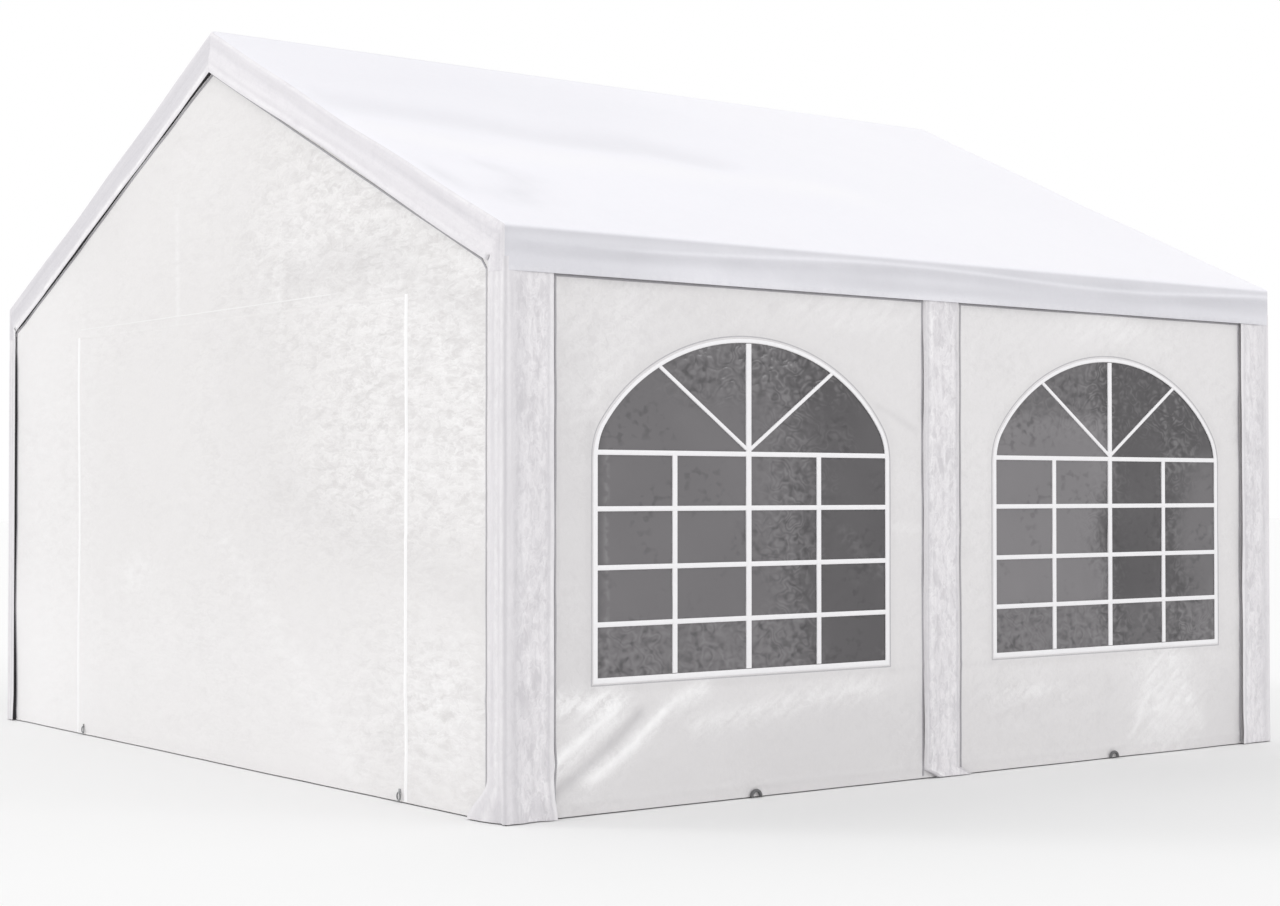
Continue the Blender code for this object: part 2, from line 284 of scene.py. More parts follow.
def unit(vectors):
    return vectors / np.linalg.norm(vectors, axis=1, keepdims=True)


def sideways(path, closed):
    """The sideways direction at each point of a flat path, drawn out at a corner so that a strip keeps its width."""
    ahead = np.roll(path, -1, axis=0) - path
    behind = path - np.roll(path, 1, axis=0)
    if not closed:
        ahead[-1] = behind[-1]
        behind[0] = ahead[0]
    across_a, across_b = (stacked(-run[:, 1], run[:, 0]) for run in (unit(ahead), unit(behind)))
    middle = unit(across_a + across_b)
    return middle / np.maximum((middle * across_a).sum(axis=1, keepdims=True), 0.4)


def fine_path(corners):
    """A path through the corners, with points added so that none is further than a step from the next."""
    step = 0.03
    corners = np.asarray(corners, float)
    runs = []
    for start, end in zip(corners[:-1], corners[1:]):
        count = max(1, int(np.ceil(np.linalg.norm(end - start) / step)))
        runs.append(start + (end - start) * np.linspace(0.0, 1.0, count, endpoint=False)[:, None])
    return np.concatenate(runs + [corners[-1:]])


def shell(points, wrapped):
    """A tube of points, rows along by columns round, as points, side faces and the end faces that an open tube has."""
    rows, cols = points.shape[:2]
    ends = np.stack([np.arange(cols), (rows - 1) * cols + np.arange(cols)])
    quads = grid_faces(rows, cols, wrap_rows=wrapped, wrap_cols=True)
    return points.reshape(-1, 3), quads, ends[:0] if wrapped else ends


def strip(path, profile, closed=False, lift=None, narrowing=1.0):
    """A strip carried along a flat path, in (along, up, proud). The profile is (sideways, proud) pairs going round,
    lift adds the wall's own relief, and narrowing gives the share of the width, for all points or each."""
    path = np.asarray(path, float)
    profile = np.asarray(profile, float)
    across = sideways(path, closed) * np.broadcast_to(narrowing, len(path))[:, None]
    plane = path[:, None, :] + across[:, None, :] * profile[None, :, :1]
    proud = np.broadcast_to(profile[None, :, 1], plane.shape[:2])
    if lift is not None:
        proud = proud + lift(plane[..., 0], plane[..., 1])
    return shell(np.concatenate([plane, proud[..., None]], axis=2), closed)


def ring(centre_a, centre_z, proud, radius, wire, squash=1.0, sweep=2.0 * math.pi):
    """A round wire bent into a ring or part of one, standing in the wall's plane."""
    closed = sweep == 2.0 * math.pi
    turns = np.linspace(0.0, sweep, 41)
    round_wire = np.linspace(0.0, 2.0 * math.pi, 13)[:-1]
    t, p = np.meshgrid(turns[:-1] if closed else turns, round_wire, indexing="ij")
    reach = radius + wire * np.cos(p)
    points = stacked(centre_a + reach * np.cos(t) * squash, centre_z + reach * np.sin(t), proud + wire * np.sin(p))
    return shell(points, closed)


def on_side(local, turn):
    """Points given as (along, up, proud) put on the right-hand wall, or on the left-hand one after half a turn."""
    return turned(stacked(SIDE_WALL_X + local[..., 2], local[..., 0], local[..., 1]), turn)


def on_gable(local, turn):
    """Points given as (across, up, proud) put on the front wall, or on the back one after half a turn."""
    return turned(stacked(local[..., 0], -GABLE_WALL_Y - local[..., 2], local[..., 1]), turn)


def ribbon(width, height, base=0.001):
    """The profile of a flat strip with rounded shoulders, going round."""
    w = width / 2.0
    half = [(w, -base), (w, 0.35 * height), (0.86 * w, 0.85 * height), (0.5 * w, height)]
    return [(-a, b) for a, b in half] + half[::-1]


# Finishes

class Channel:
    """A shader value that adds, subtracts and multiplies like a number, each step a Math node."""

    def __init__(self, tree, socket):
        self.tree = tree
        self.socket = socket

    def fill(self, node, inputs):
        """Sets each of the node's inputs to a number or colour, or links it to a channel."""
        for key, value in inputs.items():
            if isinstance(value, Channel):
                self.tree.links.new(value.socket, node.inputs[key])
            else:
                node.inputs[key].default_value = value

    def through(self, kind, inputs, output):
        """One output of a new node with the inputs given."""
        node = self.tree.nodes.new(kind)
        self.fill(node, inputs)
        return Channel(self.tree, node.outputs[output])

    def maths(self, operation, other=0.0):
        node = self.tree.nodes.new("ShaderNodeMath")
        node.operation = operation
        self.fill(node, {0: self, 1: other})
        return Channel(self.tree, node.outputs["Value"])

    def __add__(self, other):
        return self.maths("ADD", other)

    def __sub__(self, other):
        return self.maths("SUBTRACT", other)

    def __mul__(self, other):
        return self.maths("MULTIPLY", other)

    def ranged(self, low, high, to_low=0.0, to_high=1.0):
        """The value carried from one range to another and held at its ends."""
        limits = {"From Min": low, "From Max": high, "To Min": to_low, "To Max": to_high}
        return self.through("ShaderNodeMapRange", {"Value": self, **limits}, "Result")

    def spanned(self, to_low, to_high):
        """The range that a noise mostly keeps to, carried to another."""
        return self.ranged(0.3, 0.7, to_low, to_high)


def noise(vector, scale, detail, roughness, distortion=0.0, output="Fac"):
    kept = {"Scale": scale, "Detail": detail, "Roughness": roughness, "Distortion": distortion}
    return vector.through("ShaderNodeTexNoise", {"Vector": vector, **kept}, output)


def cells(vector, scale, output):
    """Crumpled facets: the distance to the nearest cell's middle, or one random colour for each cell."""
    return vector.through("ShaderNodeTexVoronoi", {"Vector": vector, "Scale": scale}, output)


def mapped(vector, scale):
    return vector.through("ShaderNodeMapping", {"Vector": vector, "Scale": scale}, "Vector")


def slanted(vector, angle, along, across):
    """The coordinates turned by an angle and drawn out, so that a noise makes streaks of one direction."""
    node = vector.tree.nodes.new("ShaderNodeMapping")
    node.vector_type = "TEXTURE"
    scale = (1.0 / along, 1.0 / across, 1.0)
    vector.fill(node, {"Vector": vector, "Rotation": (0.0, 0.0, angle), "Scale": scale})
    return Channel(vector.tree, node.outputs["Vector"])


def ridge(value, width):
    """Thin lines where a noise crosses its middle value, used for painted highlights along crumples."""
    return (value - 0.5).maths("ABSOLUTE").ranged(0.0, width, 1.0, 0.0)


def bent(vector, scale, amount):
    """The coordinates pushed about by a noise, so that straight patterns run crooked."""
    node = vector.tree.nodes.new("ShaderNodeVectorMath")
    node.operation = "MULTIPLY_ADD"
    push = noise(vector, scale, 3.0, 0.6, output="Color")
    vector.fill(node, {0: push, 1: (amount, amount, amount), 2: vector})
    return Channel(vector.tree, node.outputs["Vector"])


def blended(factor, first, second):
    """The first colour where the factor is 0 and the second where it is 1."""
    node = factor.tree.nodes.new("ShaderNodeMix")
    node.data_type = "RGBA"
    colours = (value if isinstance(value, Channel) else (*value, 1.0) for value in (first, second))
    factor.fill(node, dict(zip((0, 6, 7), (factor, *colours))))
    return Channel(factor.tree, node.outputs[2])


def painted(base, *layers):
    """Colours laid over a base one after another, each with the factor that says how strongly."""
    for factor, colour in layers:
        base = blended(factor, base, colour)
    return base


def bumped(height, distance, normal=None):
    inputs = {"Distance": distance, "Height": height}
    if normal is not None:
        inputs["Normal"] = normal
    return height.through("ShaderNodeBump", inputs, "Normal")


def marked(channel, name):
    """A mark of the sheet: its shade, shine or crumple."""
    node = channel.tree.nodes.new("ShaderNodeAttribute")
    node.attribute_name = name
    return Channel(channel.tree, node.outputs["Fac"])


def new_finish(name):
    """A new material with its shader, its place in the object and its place on the flat cloth."""
    material = bpy.data.materials.new(name)
    material.use_nodes = True
    tree = material.node_tree
    coordinates = tree.nodes.new("ShaderNodeTexCoord").outputs
    place, cloth = (Channel(tree, coordinates[key]) for key in ("Object", "UV"))
    return material, tree.nodes["Principled BSDF"], place, cloth


# Near-white colours that the marks mix in as painted light and as painted glints
PAINTED_LIGHT_WHITE = (0.96, 0.95, 0.955)
PAINTED_GLINT_WHITE = (0.97, 0.965, 0.97)


def sheeting(name, light, dark, grey, bump, gloss, facets=(1.0, 1.0, 1.0), streak=(1.2, 1.2, 0.0), drift=1.0,
             spread=0.3, gleam=(0.0, 9.0, 40.0)):
    """Coated woven sheet: a drifting tone; crumpling where it is marked or patchy, its facets in painted shade and
    painted light with veins of painted highlight; marks of painted shade, painted light and painted glints; and fine
    crossing tapes."""
    material, shader, place, cloth = new_finish(name)
    drawn = mapped(place, facets)
    step = cells(bent(drawn, 9.0, 0.06), 52.0, "Distance")
    rough = noise(drawn, 13.0, 3.0, 0.55, 0.9)
    crisp = noise(drawn, 36.0, 2.0, 0.50, 0.9)
    highlight_vein = ridge(rough, 0.035)
    fine_highlight_vein = ridge(crisp, 0.06)
    streaks = noise(slanted(cloth, *gleam), 1.0, 1.6, 0.5, 0.3)
    fine = noise(place, 75.0, 4.0, 0.62, 0.6)
    broad = noise(place, drift, 3.0, 0.5, 0.3)
    bands = noise(mapped(cloth, (streak[0], streak[1], 1.0)), 1.0, 4.0, 0.6, 0.4)
    crumpled = noise(place, 1.7, 3.0, 0.55, 0.5).ranged(0.44, 0.64, 0.06, spread) + marked(place, "crumple")
    # The facets' tones and the bright veins along the crumples' ridges are painted shade and painted highlights
    facet_shade = rough.spanned(0.42, -0.18) + crisp.spanned(0.40, -0.20) + streaks.spanned(0.22, -0.22)
    facet_shade = facet_shade + highlight_vein * -0.34 + fine_highlight_vein * -0.36
    tone = broad.spanned(0.40, 0.54) + crumpled * facet_shade + bands.spanned(-streak[2], streak[2])
    tone = tone + fine.spanned(-0.05, 0.05)
    # Marked shade mixes in the darker colour as painted shade, negative marked shade mixes in near-white as painted
    # light, and marked highlights mix in near-white as painted glints
    shade = marked(place, "shade")
    painted_glint = (streaks * 2.2 + fine_highlight_vein * 0.22 + highlight_vein * 0.25).ranged(0.75, 1.75, 0.10, 1.0)
    base = painted(
        blended(tone, light, dark),
        (shade * (bands.spanned(-0.15, 0.45) + 0.85), grey),
        (shade * -1.0, PAINTED_LIGHT_WHITE),
        (marked(place, "painted_highlight") * painted_glint, PAINTED_GLINT_WHITE),
    )
    tapes = cloth.through("ShaderNodeTexBrick", {
        "Vector": cloth, "Scale": 1.0, "Brick Width": 0.005, "Row Height": 0.0025, "Mortar Size": 0.0006,
        "Mortar Smooth": 1.0,
    }, "Fac")
    wrinkles = rough * 1.1 + crisp * 0.6 + step * 0.2 + fine * 0.10
    normal = bumped(wrinkles * (crumpled + 0.08), bump)
    normal = bumped(noise(place, 6.0, 3.0, 0.5), 0.003, normal)
    place.fill(shader, {
        "Base Color": base, "Roughness": fine.spanned(gloss - 0.05, gloss + 0.08), "Specular IOR Level": 0.5,
        "Normal": bumped(tapes, -0.00012, normal),
    })
    return material


def plain_strip(name, colour, other, roughness, grain=90.0, depth=0.0003):
    """Tape, cord or welded strip: a little tone and grain over one colour."""
    material, shader, place, _ = new_finish(name)
    grainy = noise(place, grain, 5.0, 0.6)
    tone = grainy.spanned(0.0, 0.6) + noise(place, 3.0, 2.0, 0.5).spanned(0.0, 0.4)
    place.fill(shader, {
        "Base Color": blended(tone, colour, other),
        "Roughness": grainy.spanned(roughness - 0.06, roughness + 0.08),
        "Normal": bumped(grainy, depth),
    })
    return material


def window_film(name):
    """Clear soft film, drawn as an opaque sheet whose dark colours are painted shade of the tent's inside behind it:
    paler or darker as marked, with painted reflections of hammered ripples and curled flecks where it is marked
    uneven."""
    material, shader, place, cloth = new_finish(name)
    uneven = marked(place, "crumple")
    swirled = mapped(cloth, (1.0, 1.25, 1.0))
    slow = noise(swirled, 7.0, 1.0, 0.5, 0.4) * 0.72 + noise(swirled, 17.0, 1.0, 0.5, 0.3) * 0.28
    rings = (slow * 78.0).maths("SINE")
    curls = noise(swirled, 27.0, 1.0, 0.40, 0.25)
    sparse = noise(cloth, 5.0, 1.0, 0.5).ranged(0.50, 0.62, 0.0, 0.60)
    # Dark flecks and the lighter and darker ripples are painted reflections on the film
    painted_dark_fleck = curls.ranged(0.47, 0.30) * (uneven * 0.45 + sparse)
    ripple = (rings * 0.62 + curls.spanned(-0.75, 0.75)) * uneven
    inside_shade = marked(place, "shade") + noise(cloth, 2.2, 2.0, 0.5).spanned(-0.04, 0.08)
    # The base colours are painted shade of the tent's inside seen through the film; marked highlights are painted
    # reflections
    base = painted(
        blended(inside_shade, (0.212, 0.203, 0.212), (0.062, 0.058, 0.062)),
        (painted_dark_fleck * 0.55, (0.030, 0.028, 0.031)),
        (ripple * 0.30, (0.300, 0.292, 0.300)),
        (ripple * -0.38, (0.045, 0.043, 0.046)),
        (marked(place, "painted_highlight") * curls.ranged(0.45, 0.60), (0.36, 0.355, 0.36)),
    )
    height = (curls + rings * 0.05) * (uneven + 0.12)
    place.fill(shader, {
        "Base Color": base, "Roughness": 0.16, "Specular IOR Level": 0.5, "Normal": bumped(height, 0.0025),
    })
    return material


def steel(name, light, dark):
    """Galvanised tube: zinc flakes of two greys, with small changes of gloss."""
    material, shader, place, _ = new_finish(name)
    flake = place.through("ShaderNodeSeparateColor", {"Color": cells(place, 55.0, "Color")}, "Red")
    grain = noise(place, 20.0, 5.0, 0.6)
    place.fill(shader, {
        "Base Color": blended((flake + grain).ranged(0.4, 1.2), light, dark),
        "Roughness": grain.spanned(0.28, 0.5), "Metallic": 0.9, "Normal": bumped(grain, 0.0002),
    })
    return material


# Each sheeting's third colour is the colour of its painted shade
roof_cloth = sheeting(
    "roof_sheeting", (0.930, 0.922, 0.970), (0.855, 0.848, 0.900), (0.620, 0.616, 0.655), 0.004, 0.46,
    streak=(0.9, 0.5, 0.12), drift=0.8, spread=0.10,
)
skirt_cloth = sheeting(
    "skirt_sheeting", (0.835, 0.812, 0.840), (0.700, 0.680, 0.712), (0.600, 0.585, 0.620), 0.004, 0.38,
    streak=(1.1, 34.0, 0.22), spread=0.20,
)
sleeve_cloth = sheeting(
    "sleeve_sheeting", (0.880, 0.860, 0.880), (0.650, 0.630, 0.655), (0.560, 0.545, 0.575), 0.005, 0.33,
    facets=(1.15, 1.15, 0.62), streak=(42.0, 1.6, 0.16), drift=3.0, spread=0.22, gleam=(0.0, 40.0, 14.0),
)
gable_cloth = sheeting(
    "gable_sheeting", (0.865, 0.850, 0.848), (0.715, 0.696, 0.694), (0.620, 0.602, 0.605), 0.005, 0.36,
    facets=(0.55, 1.0, 1.25), drift=0.9, spread=0.30, gleam=(0.10, 12.0, 30.0),
)
side_cloth = sheeting(
    "side_sheeting", (0.825, 0.810, 0.815), (0.665, 0.648, 0.654), (0.560, 0.545, 0.556), 0.005, 0.36,
    drift=0.9, spread=0.30, gleam=(0.60, 9.0, 34.0),
)
film = window_film("window_film")
bar_white = plain_strip("window_bar_white", (0.905, 0.895, 0.91), (0.85, 0.84, 0.86), 0.35)
# Colour of the window's seams, and of the strips that paint the shadow line down the gable's right edge and in the
# gaps beside some sleeves
seam_and_shadow_grey = plain_strip("seam_and_shadow_grey", (0.53, 0.52, 0.54), (0.46, 0.45, 0.47), 0.6)
zip_white = plain_strip("zip_white", (0.985, 0.98, 0.985), (0.94, 0.935, 0.94), 0.4, grain=320.0)
# Light colour for the strip that paints the highlight along the crease over the door
crease_highlight_white = plain_strip("crease_highlight_white", (0.87, 0.86, 0.86), (0.82, 0.81, 0.81), 0.4)
# Dark colour for the strips that paint the shadow lines under the skirts' hems and along the sleeves' edges
shadow_line_grey = plain_strip("shadow_line_grey", (0.42, 0.41, 0.435), (0.34, 0.33, 0.35), 0.6)
# Near-black for the strips that paint the shadow in the gaps behind hems and beside sleeves
gap_shadow_black = plain_strip("gap_shadow_black", (0.016, 0.015, 0.017), (0.03, 0.029, 0.032), 0.8)
loop_grey = plain_strip("loop_grey", (0.10, 0.10, 0.105), (0.16, 0.16, 0.165), 0.55, grain=400.0, depth=0.0006)
ring_steel = steel("ring_steel", (0.42, 0.43, 0.44), (0.25, 0.255, 0.26))
tube_steel = steel("tube_galvanised", (0.66, 0.67, 0.69), (0.46, 0.47, 0.49))


# Roof: one sheet over both slopes, with the eave skirts

def roof_profile():
    """Half of the roof's outline from ridge to hem: a slope with a rounded ridge, a rounded eave and a straight
    skirt. Gives points, outward directions, the share of the way down the slope and down the skirt."""
    radius = 0.014
    corner_x = HALF_WIDTH - LIE
    lift = RIDGE_Z - LIE / math.cos(PITCH)
    corner = np.array([corner_x, lift - SLOPE * corner_x])
    reach = radius * math.tan((math.pi / 2 - PITCH) / 2)
    start = corner - reach * np.array([math.cos(PITCH), -math.sin(PITCH)])
    x = np.concatenate([[0.0, 0.003, 0.007, 0.012, 0.02, 0.035], np.linspace(0.06, start[0], 62)])
    slope = stacked(x, lift - SLOPE * np.sqrt(x * x + 0.0001))
    angle = np.linspace(PITCH, math.pi / 2, 8)[1:]
    centre = start - radius * np.array([math.sin(PITCH), math.cos(PITCH)])
    bend = centre + radius * stacked(np.sin(angle), np.cos(angle))
    z = np.linspace(corner[1] - reach, SKIRT_Z, 27)[1:]
    tilt = PITCH * smooth(0.0, 0.03, x)
    directions = np.concatenate([
        stacked(np.sin(tilt), np.cos(tilt)),
        stacked(np.sin(angle), np.cos(angle)),
        np.tile([1.0, 0.0], (len(z), 1)),
    ])
    down_slope = np.concatenate([x / start[0], np.ones(len(bend) + len(z))])
    down = corner[1] - np.concatenate([bend[:, 1], z])
    down_skirt = np.concatenate([np.zeros(len(x)), down / (corner[1] - SKIRT_Z)])
    return np.concatenate([slope, bend, stacked(corner_x, z)]), directions, down_slope, down_skirt


# A long slack fold, a small dent and a stretch of painted light in each slope, as (along, out from the ridge)
ROOF_FOLD = [(-1.92, 0.88), (-1.31, 0.89), (-1.03, 0.98), (-0.56, 0.95), (-0.30, 1.15)]
ROOF_DENT = [(-1.66, 1.47), (-1.58, 1.60), (-1.68, 1.74), (-1.80, 1.86)]
ROOF_LIT_STRETCH = [(-1.90, 1.22), (-1.59, 1.30), (-0.90, 1.24), (0.20, 1.35)]


def both_halves(values, mirror=False):
    """Values from ridge to hem made into values from the left hem over the ridge to the right hem."""
    left = values[:0:-1].copy()
    if mirror:
        left[:, 0] *= -1.0
    return np.concatenate([left, values])


def roof_sag(along, out, across, yy, share, hand):
    """How far the roof lies below its outline: slack between the rafters, at its ends, and in its fold and dent."""
    bay = np.sin(np.pi * yy / LEG_Y) ** 2 * (np.abs(yy) < LEG_Y)
    belly = np.sin(np.pi * np.clip(share, 0.0, 1.0))
    sag = 0.013 * bay * belly ** 0.8
    sag = sag + 0.004 * belly * bay * (1.0 + buckles(across, yy, 11, 1.4))
    end = smooth(LEG_Y + 0.004, HALF_LENGTH - 0.006, np.abs(yy))
    sag = sag + end * belly * (0.006 + 0.007 * np.sin(2.6 * np.pi * share + 0.6 * hand) ** 2)
    slack = creases(along, out, (0.010, ROOF_FOLD, 0.13), (0.007, ROOF_DENT, 0.07, 1.6))
    return sag + belly * smooth(HALF_LENGTH, HALF_LENGTH - 0.12, np.abs(yy)) * slack


def skirt_billow(yy, drop, crest):
    """How far the eave skirt stands out of its plane: slow waves, one roll along its crest, and a hem."""
    lie = smooth(0.02, 0.3, drop)
    billow = 0.0025 * np.sin(2.0 * np.pi * yy / 1.9 + 0.7) + 0.0015 * buckles(yy, drop, 21, 0.9) + 0.004 * drop
    billow = billow + bells(drop, (0.0048, crest, 0.09), (-0.0030, crest + 0.24, 0.15), (0.0018, 0.90, 0.05))
    return lie * billow * smooth(HALF_LENGTH, HALF_LENGTH - 0.12, np.abs(yy))


def roof_marks(along, out, across, yy, share, drop, crest):
    """Painted shade, painted highlights and crumpling of the roof: painted shade in its fold, its dent and towards the
    ridge, painted light along a stretch of each slope, a darker line along the ridge, and painted shade over the eave
    skirt.
    """
    shade = 0.20 * crease(along, out, ROOF_FOLD, 0.15) + 0.08 * smooth(1.0, 0.4, out) * smooth(1.2, -0.8, along)
    shade = shade - 0.30 * crease(along, out, ROOF_LIT_STRETCH, 0.13)
    # Painted shade in the dent
    dent_shade = crease(along, out, ROOF_DENT, 0.085, 1.6)
    shade = shade + 0.30 * dent_shade * (0.75 + 0.25 * buckles(along, out, 17, 0.18))
    shade = shade + 0.30 * patch(along, out, (-1.97, 1.68), (0.035, 0.13)) - 0.12 * smooth(-0.2, 0.8, along)
    shade = shade * (share < 1.0) + 0.40 * bell(across, 0.0, 0.018) * (0.85 + 0.15 * np.sin(9.0 * yy))
    on_skirt = smooth(0.0, 0.10, drop)
    # Over the eave skirt: painted shade throughout, with painted folds, lighter on its crest and towards its hem,
    # darker just below the crest, and a painted highlight near its hem
    folds = 0.10 * buckles(along * 0.35, drop, 23, 0.7) + 0.12 * bell(drop, crest + 0.22, 0.10)
    folds = folds - 0.38 * bell(drop, crest, 0.055) * smooth(-1.75, -1.3, along)
    folds = folds + 0.20 * bell(drop, 0.12, 0.10) * smooth(-0.9, -1.9, along) - 0.10 * smooth(0.6, 0.9, drop)
    shade = shade * (1.0 - on_skirt) + on_skirt * (0.82 + folds)
    return shade, on_skirt * 0.20 * bell(drop, 0.94, 0.04), 0.25 * on_skirt + 0.05


def roof_grid():
    """The roof as a grid, along Y by across. It sags between the rafters, buckles softly, and turns down at its ends.
    Gives points, flat coordinates and marks."""
    points, directions, slope_share, skirt_share = roof_profile()
    outline = both_halves(points, mirror=True)
    outward = both_halves(directions, mirror=True)
    bend = np.radians(np.linspace(0.0, 45.0, 7))
    flat_end = HALF_LENGTH - EDGE_R
    middle = np.linspace(-flat_end, flat_end, 121)
    past = EDGE_R * np.sin(bend[1:])
    fall = EDGE_R * (1 - np.cos(bend[1:]))
    y = np.concatenate([-(flat_end + past[::-1]), middle, flat_end + past])
    inset = np.concatenate([fall[::-1], np.zeros(len(middle)), fall])
    yy, share = np.meshgrid(y, both_halves(slope_share), indexing="ij")
    drop = np.broadcast_to(both_halves(skirt_share), yy.shape)
    across = np.broadcast_to(outline[:, 0], yy.shape)
    hand = np.sign(across)
    out = np.abs(across)
    along = yy * hand
    crest = 0.285 - 0.10 * np.sin(2.45 * (along + 0.91))
    move = skirt_billow(yy, drop, crest) - roof_sag(along, out, across, yy, share, hand) - inset[:, None]
    x, z = (outline[None, :, i] + outward[None, :, i] * move for i in (0, 1))
    s = added_up(np.linalg.norm(np.diff(outline, axis=0), axis=1))
    return stacked(x, yy, z), stacked(s, yy), roof_marks(along, out, across, yy, share, drop, crest)


roof, roof_uv, marks = roof_grid()
cloth_piece(
    "roof_sheet", roof, roof_uv, roof_cloth, ["roof_cover_left", "roof_cover_right"],
    marks,
)


# Gable skirts: the strips sewn to the roof's ends

def stand_off(x):
    """How far the fabric at a gable's corner stands proud of the end plane, by its distance from the corner: more on
    the right."""
    return (0.0042 + 0.0018 * np.sign(x)) * smooth(0.010, SLEEVE_GABLE, HALF_WIDTH - np.abs(x))


def gable_hem(edge):
    """The skirt's lower edge for each point of the roof's end: a line from the peak down to the corner, then a short
    step down at the sleeve."""
    _, _, slope_share, skirt_share = roof_profile()
    share = both_halves(slope_share)
    drop = both_halves(skirt_share)
    hand = np.sign(edge[:, 0])
    z = GABLE_PEAK_Z - (GABLE_PEAK_Z - GABLE_CORNER_Z) * share
    z = z - 0.010 * np.sin(np.pi * share) * np.cos(2.0 * np.pi * share) * (hand > 0)
    z = z - (GABLE_CORNER_Z - SKIRT_Z) * drop / drop.max()
    return (HALF_WIDTH - SLEEVE_GABLE) * share * hand, z, share


def gable_skirt_grid(edge):
    """The skirt between the roof's end and its hem. It turns down over the end, then hangs, its hem standing a little
    off the wall. Laid flat it is a strip of one height."""
    flat_height = 0.152
    hem_x, hem_z, share = gable_hem(edge)
    t = np.concatenate([[0.0, 0.02, 0.045, 0.07, 0.10], np.linspace(0.14, 1.0, 25)])[:, None]
    x = edge[None, :, 0] + (hem_x - edge[:, 0])[None, :] * t
    z = edge[None, :, 2] + (hem_z - edge[:, 2])[None, :] * t
    bend = np.radians(45.0 + 45.0 * np.clip(t / 0.10, 0.0, 1.0))
    depth = HALF_LENGTH - EDGE_R * (1.0 - np.sin(bend))
    corner = smooth(0.86, 1.0, share)[None, :]
    flare = (0.0055 + 0.0040 * np.sign(x)) * smooth(0.1, 1.0, t) * (1.0 - corner)
    flare = flare + stand_off(x) * smooth(0.05, 0.3, t) * corner
    waves = 0.0016 * np.sin(5.0 * x + 1.3) * smooth(0.1, 0.6, t)
    pleat = 0.0018 * bell(t, 0.64 + 0.04 * np.sin(3.0 * x), 0.10)
    pleat = pleat + bells(t, (-0.0014, 0.40, 0.12), (-0.0010, 0.82, 0.05), (0.0012, 0.93, 0.05))
    rough = 0.0010 * buckles(x, z, 31, 0.5)
    depth = depth + flare + (waves + pleat + rough) * smooth(0.08, 0.2, t) * (1.0 - corner)
    upper, lower = (added_up(np.hypot(np.diff(a), np.diff(b))) for a, b in ((edge[:, 0], edge[:, 2]), (hem_x, hem_z)))
    s = (upper - upper[-1] / 2.0)[None, :] * (1.0 - t) + (lower - lower[-1] / 2.0)[None, :] * t
    left = (edge[:, 0] < 0.0)[None, :]
    # Painted shade along the skirt's folds, heavier on the left slope, and painted highlights near its hem and along
    # its top
    shade = bells(t, (0.28, 0.30, 0.22), (0.35 * left, 0.55, 0.14)) + 0.22 * left * (t < 0.80)
    painted_highlight = bells(t, (0.80 * left, 0.86, 0.08), (0.30, 0.88, 0.08), (0.45, 0.03, 0.04))
    return stacked(x, -depth, z), stacked(s, flat_height * t), (shade, painted_highlight, 0.15 + 0.35 * corner)


def gap_shadow_tape(name, edge, turn, finish):
    """A strip of painted shadow behind a hem: from the hem straight back to the wall, filling the gap where shade
    falls.
    """
    back = edge.copy()
    back[:, 1] = -GABLE_WALL_Y - 0.0005
    grid = turned(np.stack([edge, (edge + back) / 2.0, back]), turn)
    return new_sheet(name, grid.reshape(-1, 3), grid_faces(3, len(edge)), finish, THIN, 0.0)


# Between these distances across, the skirt's hem has its strip of painted shadow
SKIRT_SHADOW_TAPE = (SLEEVE_GABLE + 0.012 - HALF_WIDTH, HALF_WIDTH - SLEEVE_GABLE - 0.075)
for end_name, turn in ENDS:
    skirt, skirt_uv, marks = gable_skirt_grid(roof[0])
    hem = skirt[-1] + np.array([0.0, 0.0016, 0.0015])
    hem = hem[(hem[:, 0] > SKIRT_SHADOW_TAPE[0]) & (hem[:, 0] < SKIRT_SHADOW_TAPE[1])]
    # A black strip that paints the shadow in the gap behind the skirt's hem
    tape = gap_shadow_tape(f"skirt_gap_shadow_tape_{end_name}", hem, turn, gap_shadow_black)
    cloth_piece(
        f"gable_skirt_sheet_{end_name}", turned(skirt, turn), skirt_uv, skirt_cloth,
        [f"gable_skirt_{end_name}"], marks,
    )


# Sleeves over the legs

def corner_sleeve_plan():
    """The sleeve's plan from the door edge round the corner to the window edge: points and outward directions."""
    radius = 0.016
    gable_x = np.linspace(HALF_WIDTH - SLEEVE_GABLE, HALF_WIDTH - radius, 17)
    side_y = np.linspace(-(HALF_LENGTH - radius), -(HALF_LENGTH - SLEEVE_SIDE), 30)
    bend = np.radians(np.linspace(0.0, 90.0, 8))[1:-1]
    to_gable, to_side = np.ones(len(gable_x)), np.ones(len(side_y))
    x = np.concatenate([gable_x, HALF_WIDTH - radius + radius * np.sin(bend), HALF_WIDTH * to_side])
    y = np.concatenate([-HALF_LENGTH * to_gable, -(HALF_LENGTH - radius + radius * np.cos(bend)), side_y])
    nx = np.concatenate([0.0 * to_gable, np.sin(bend), to_side])
    ny = np.concatenate([-to_gable, -np.cos(bend), 0.0 * to_side])
    return x, y, nx, ny


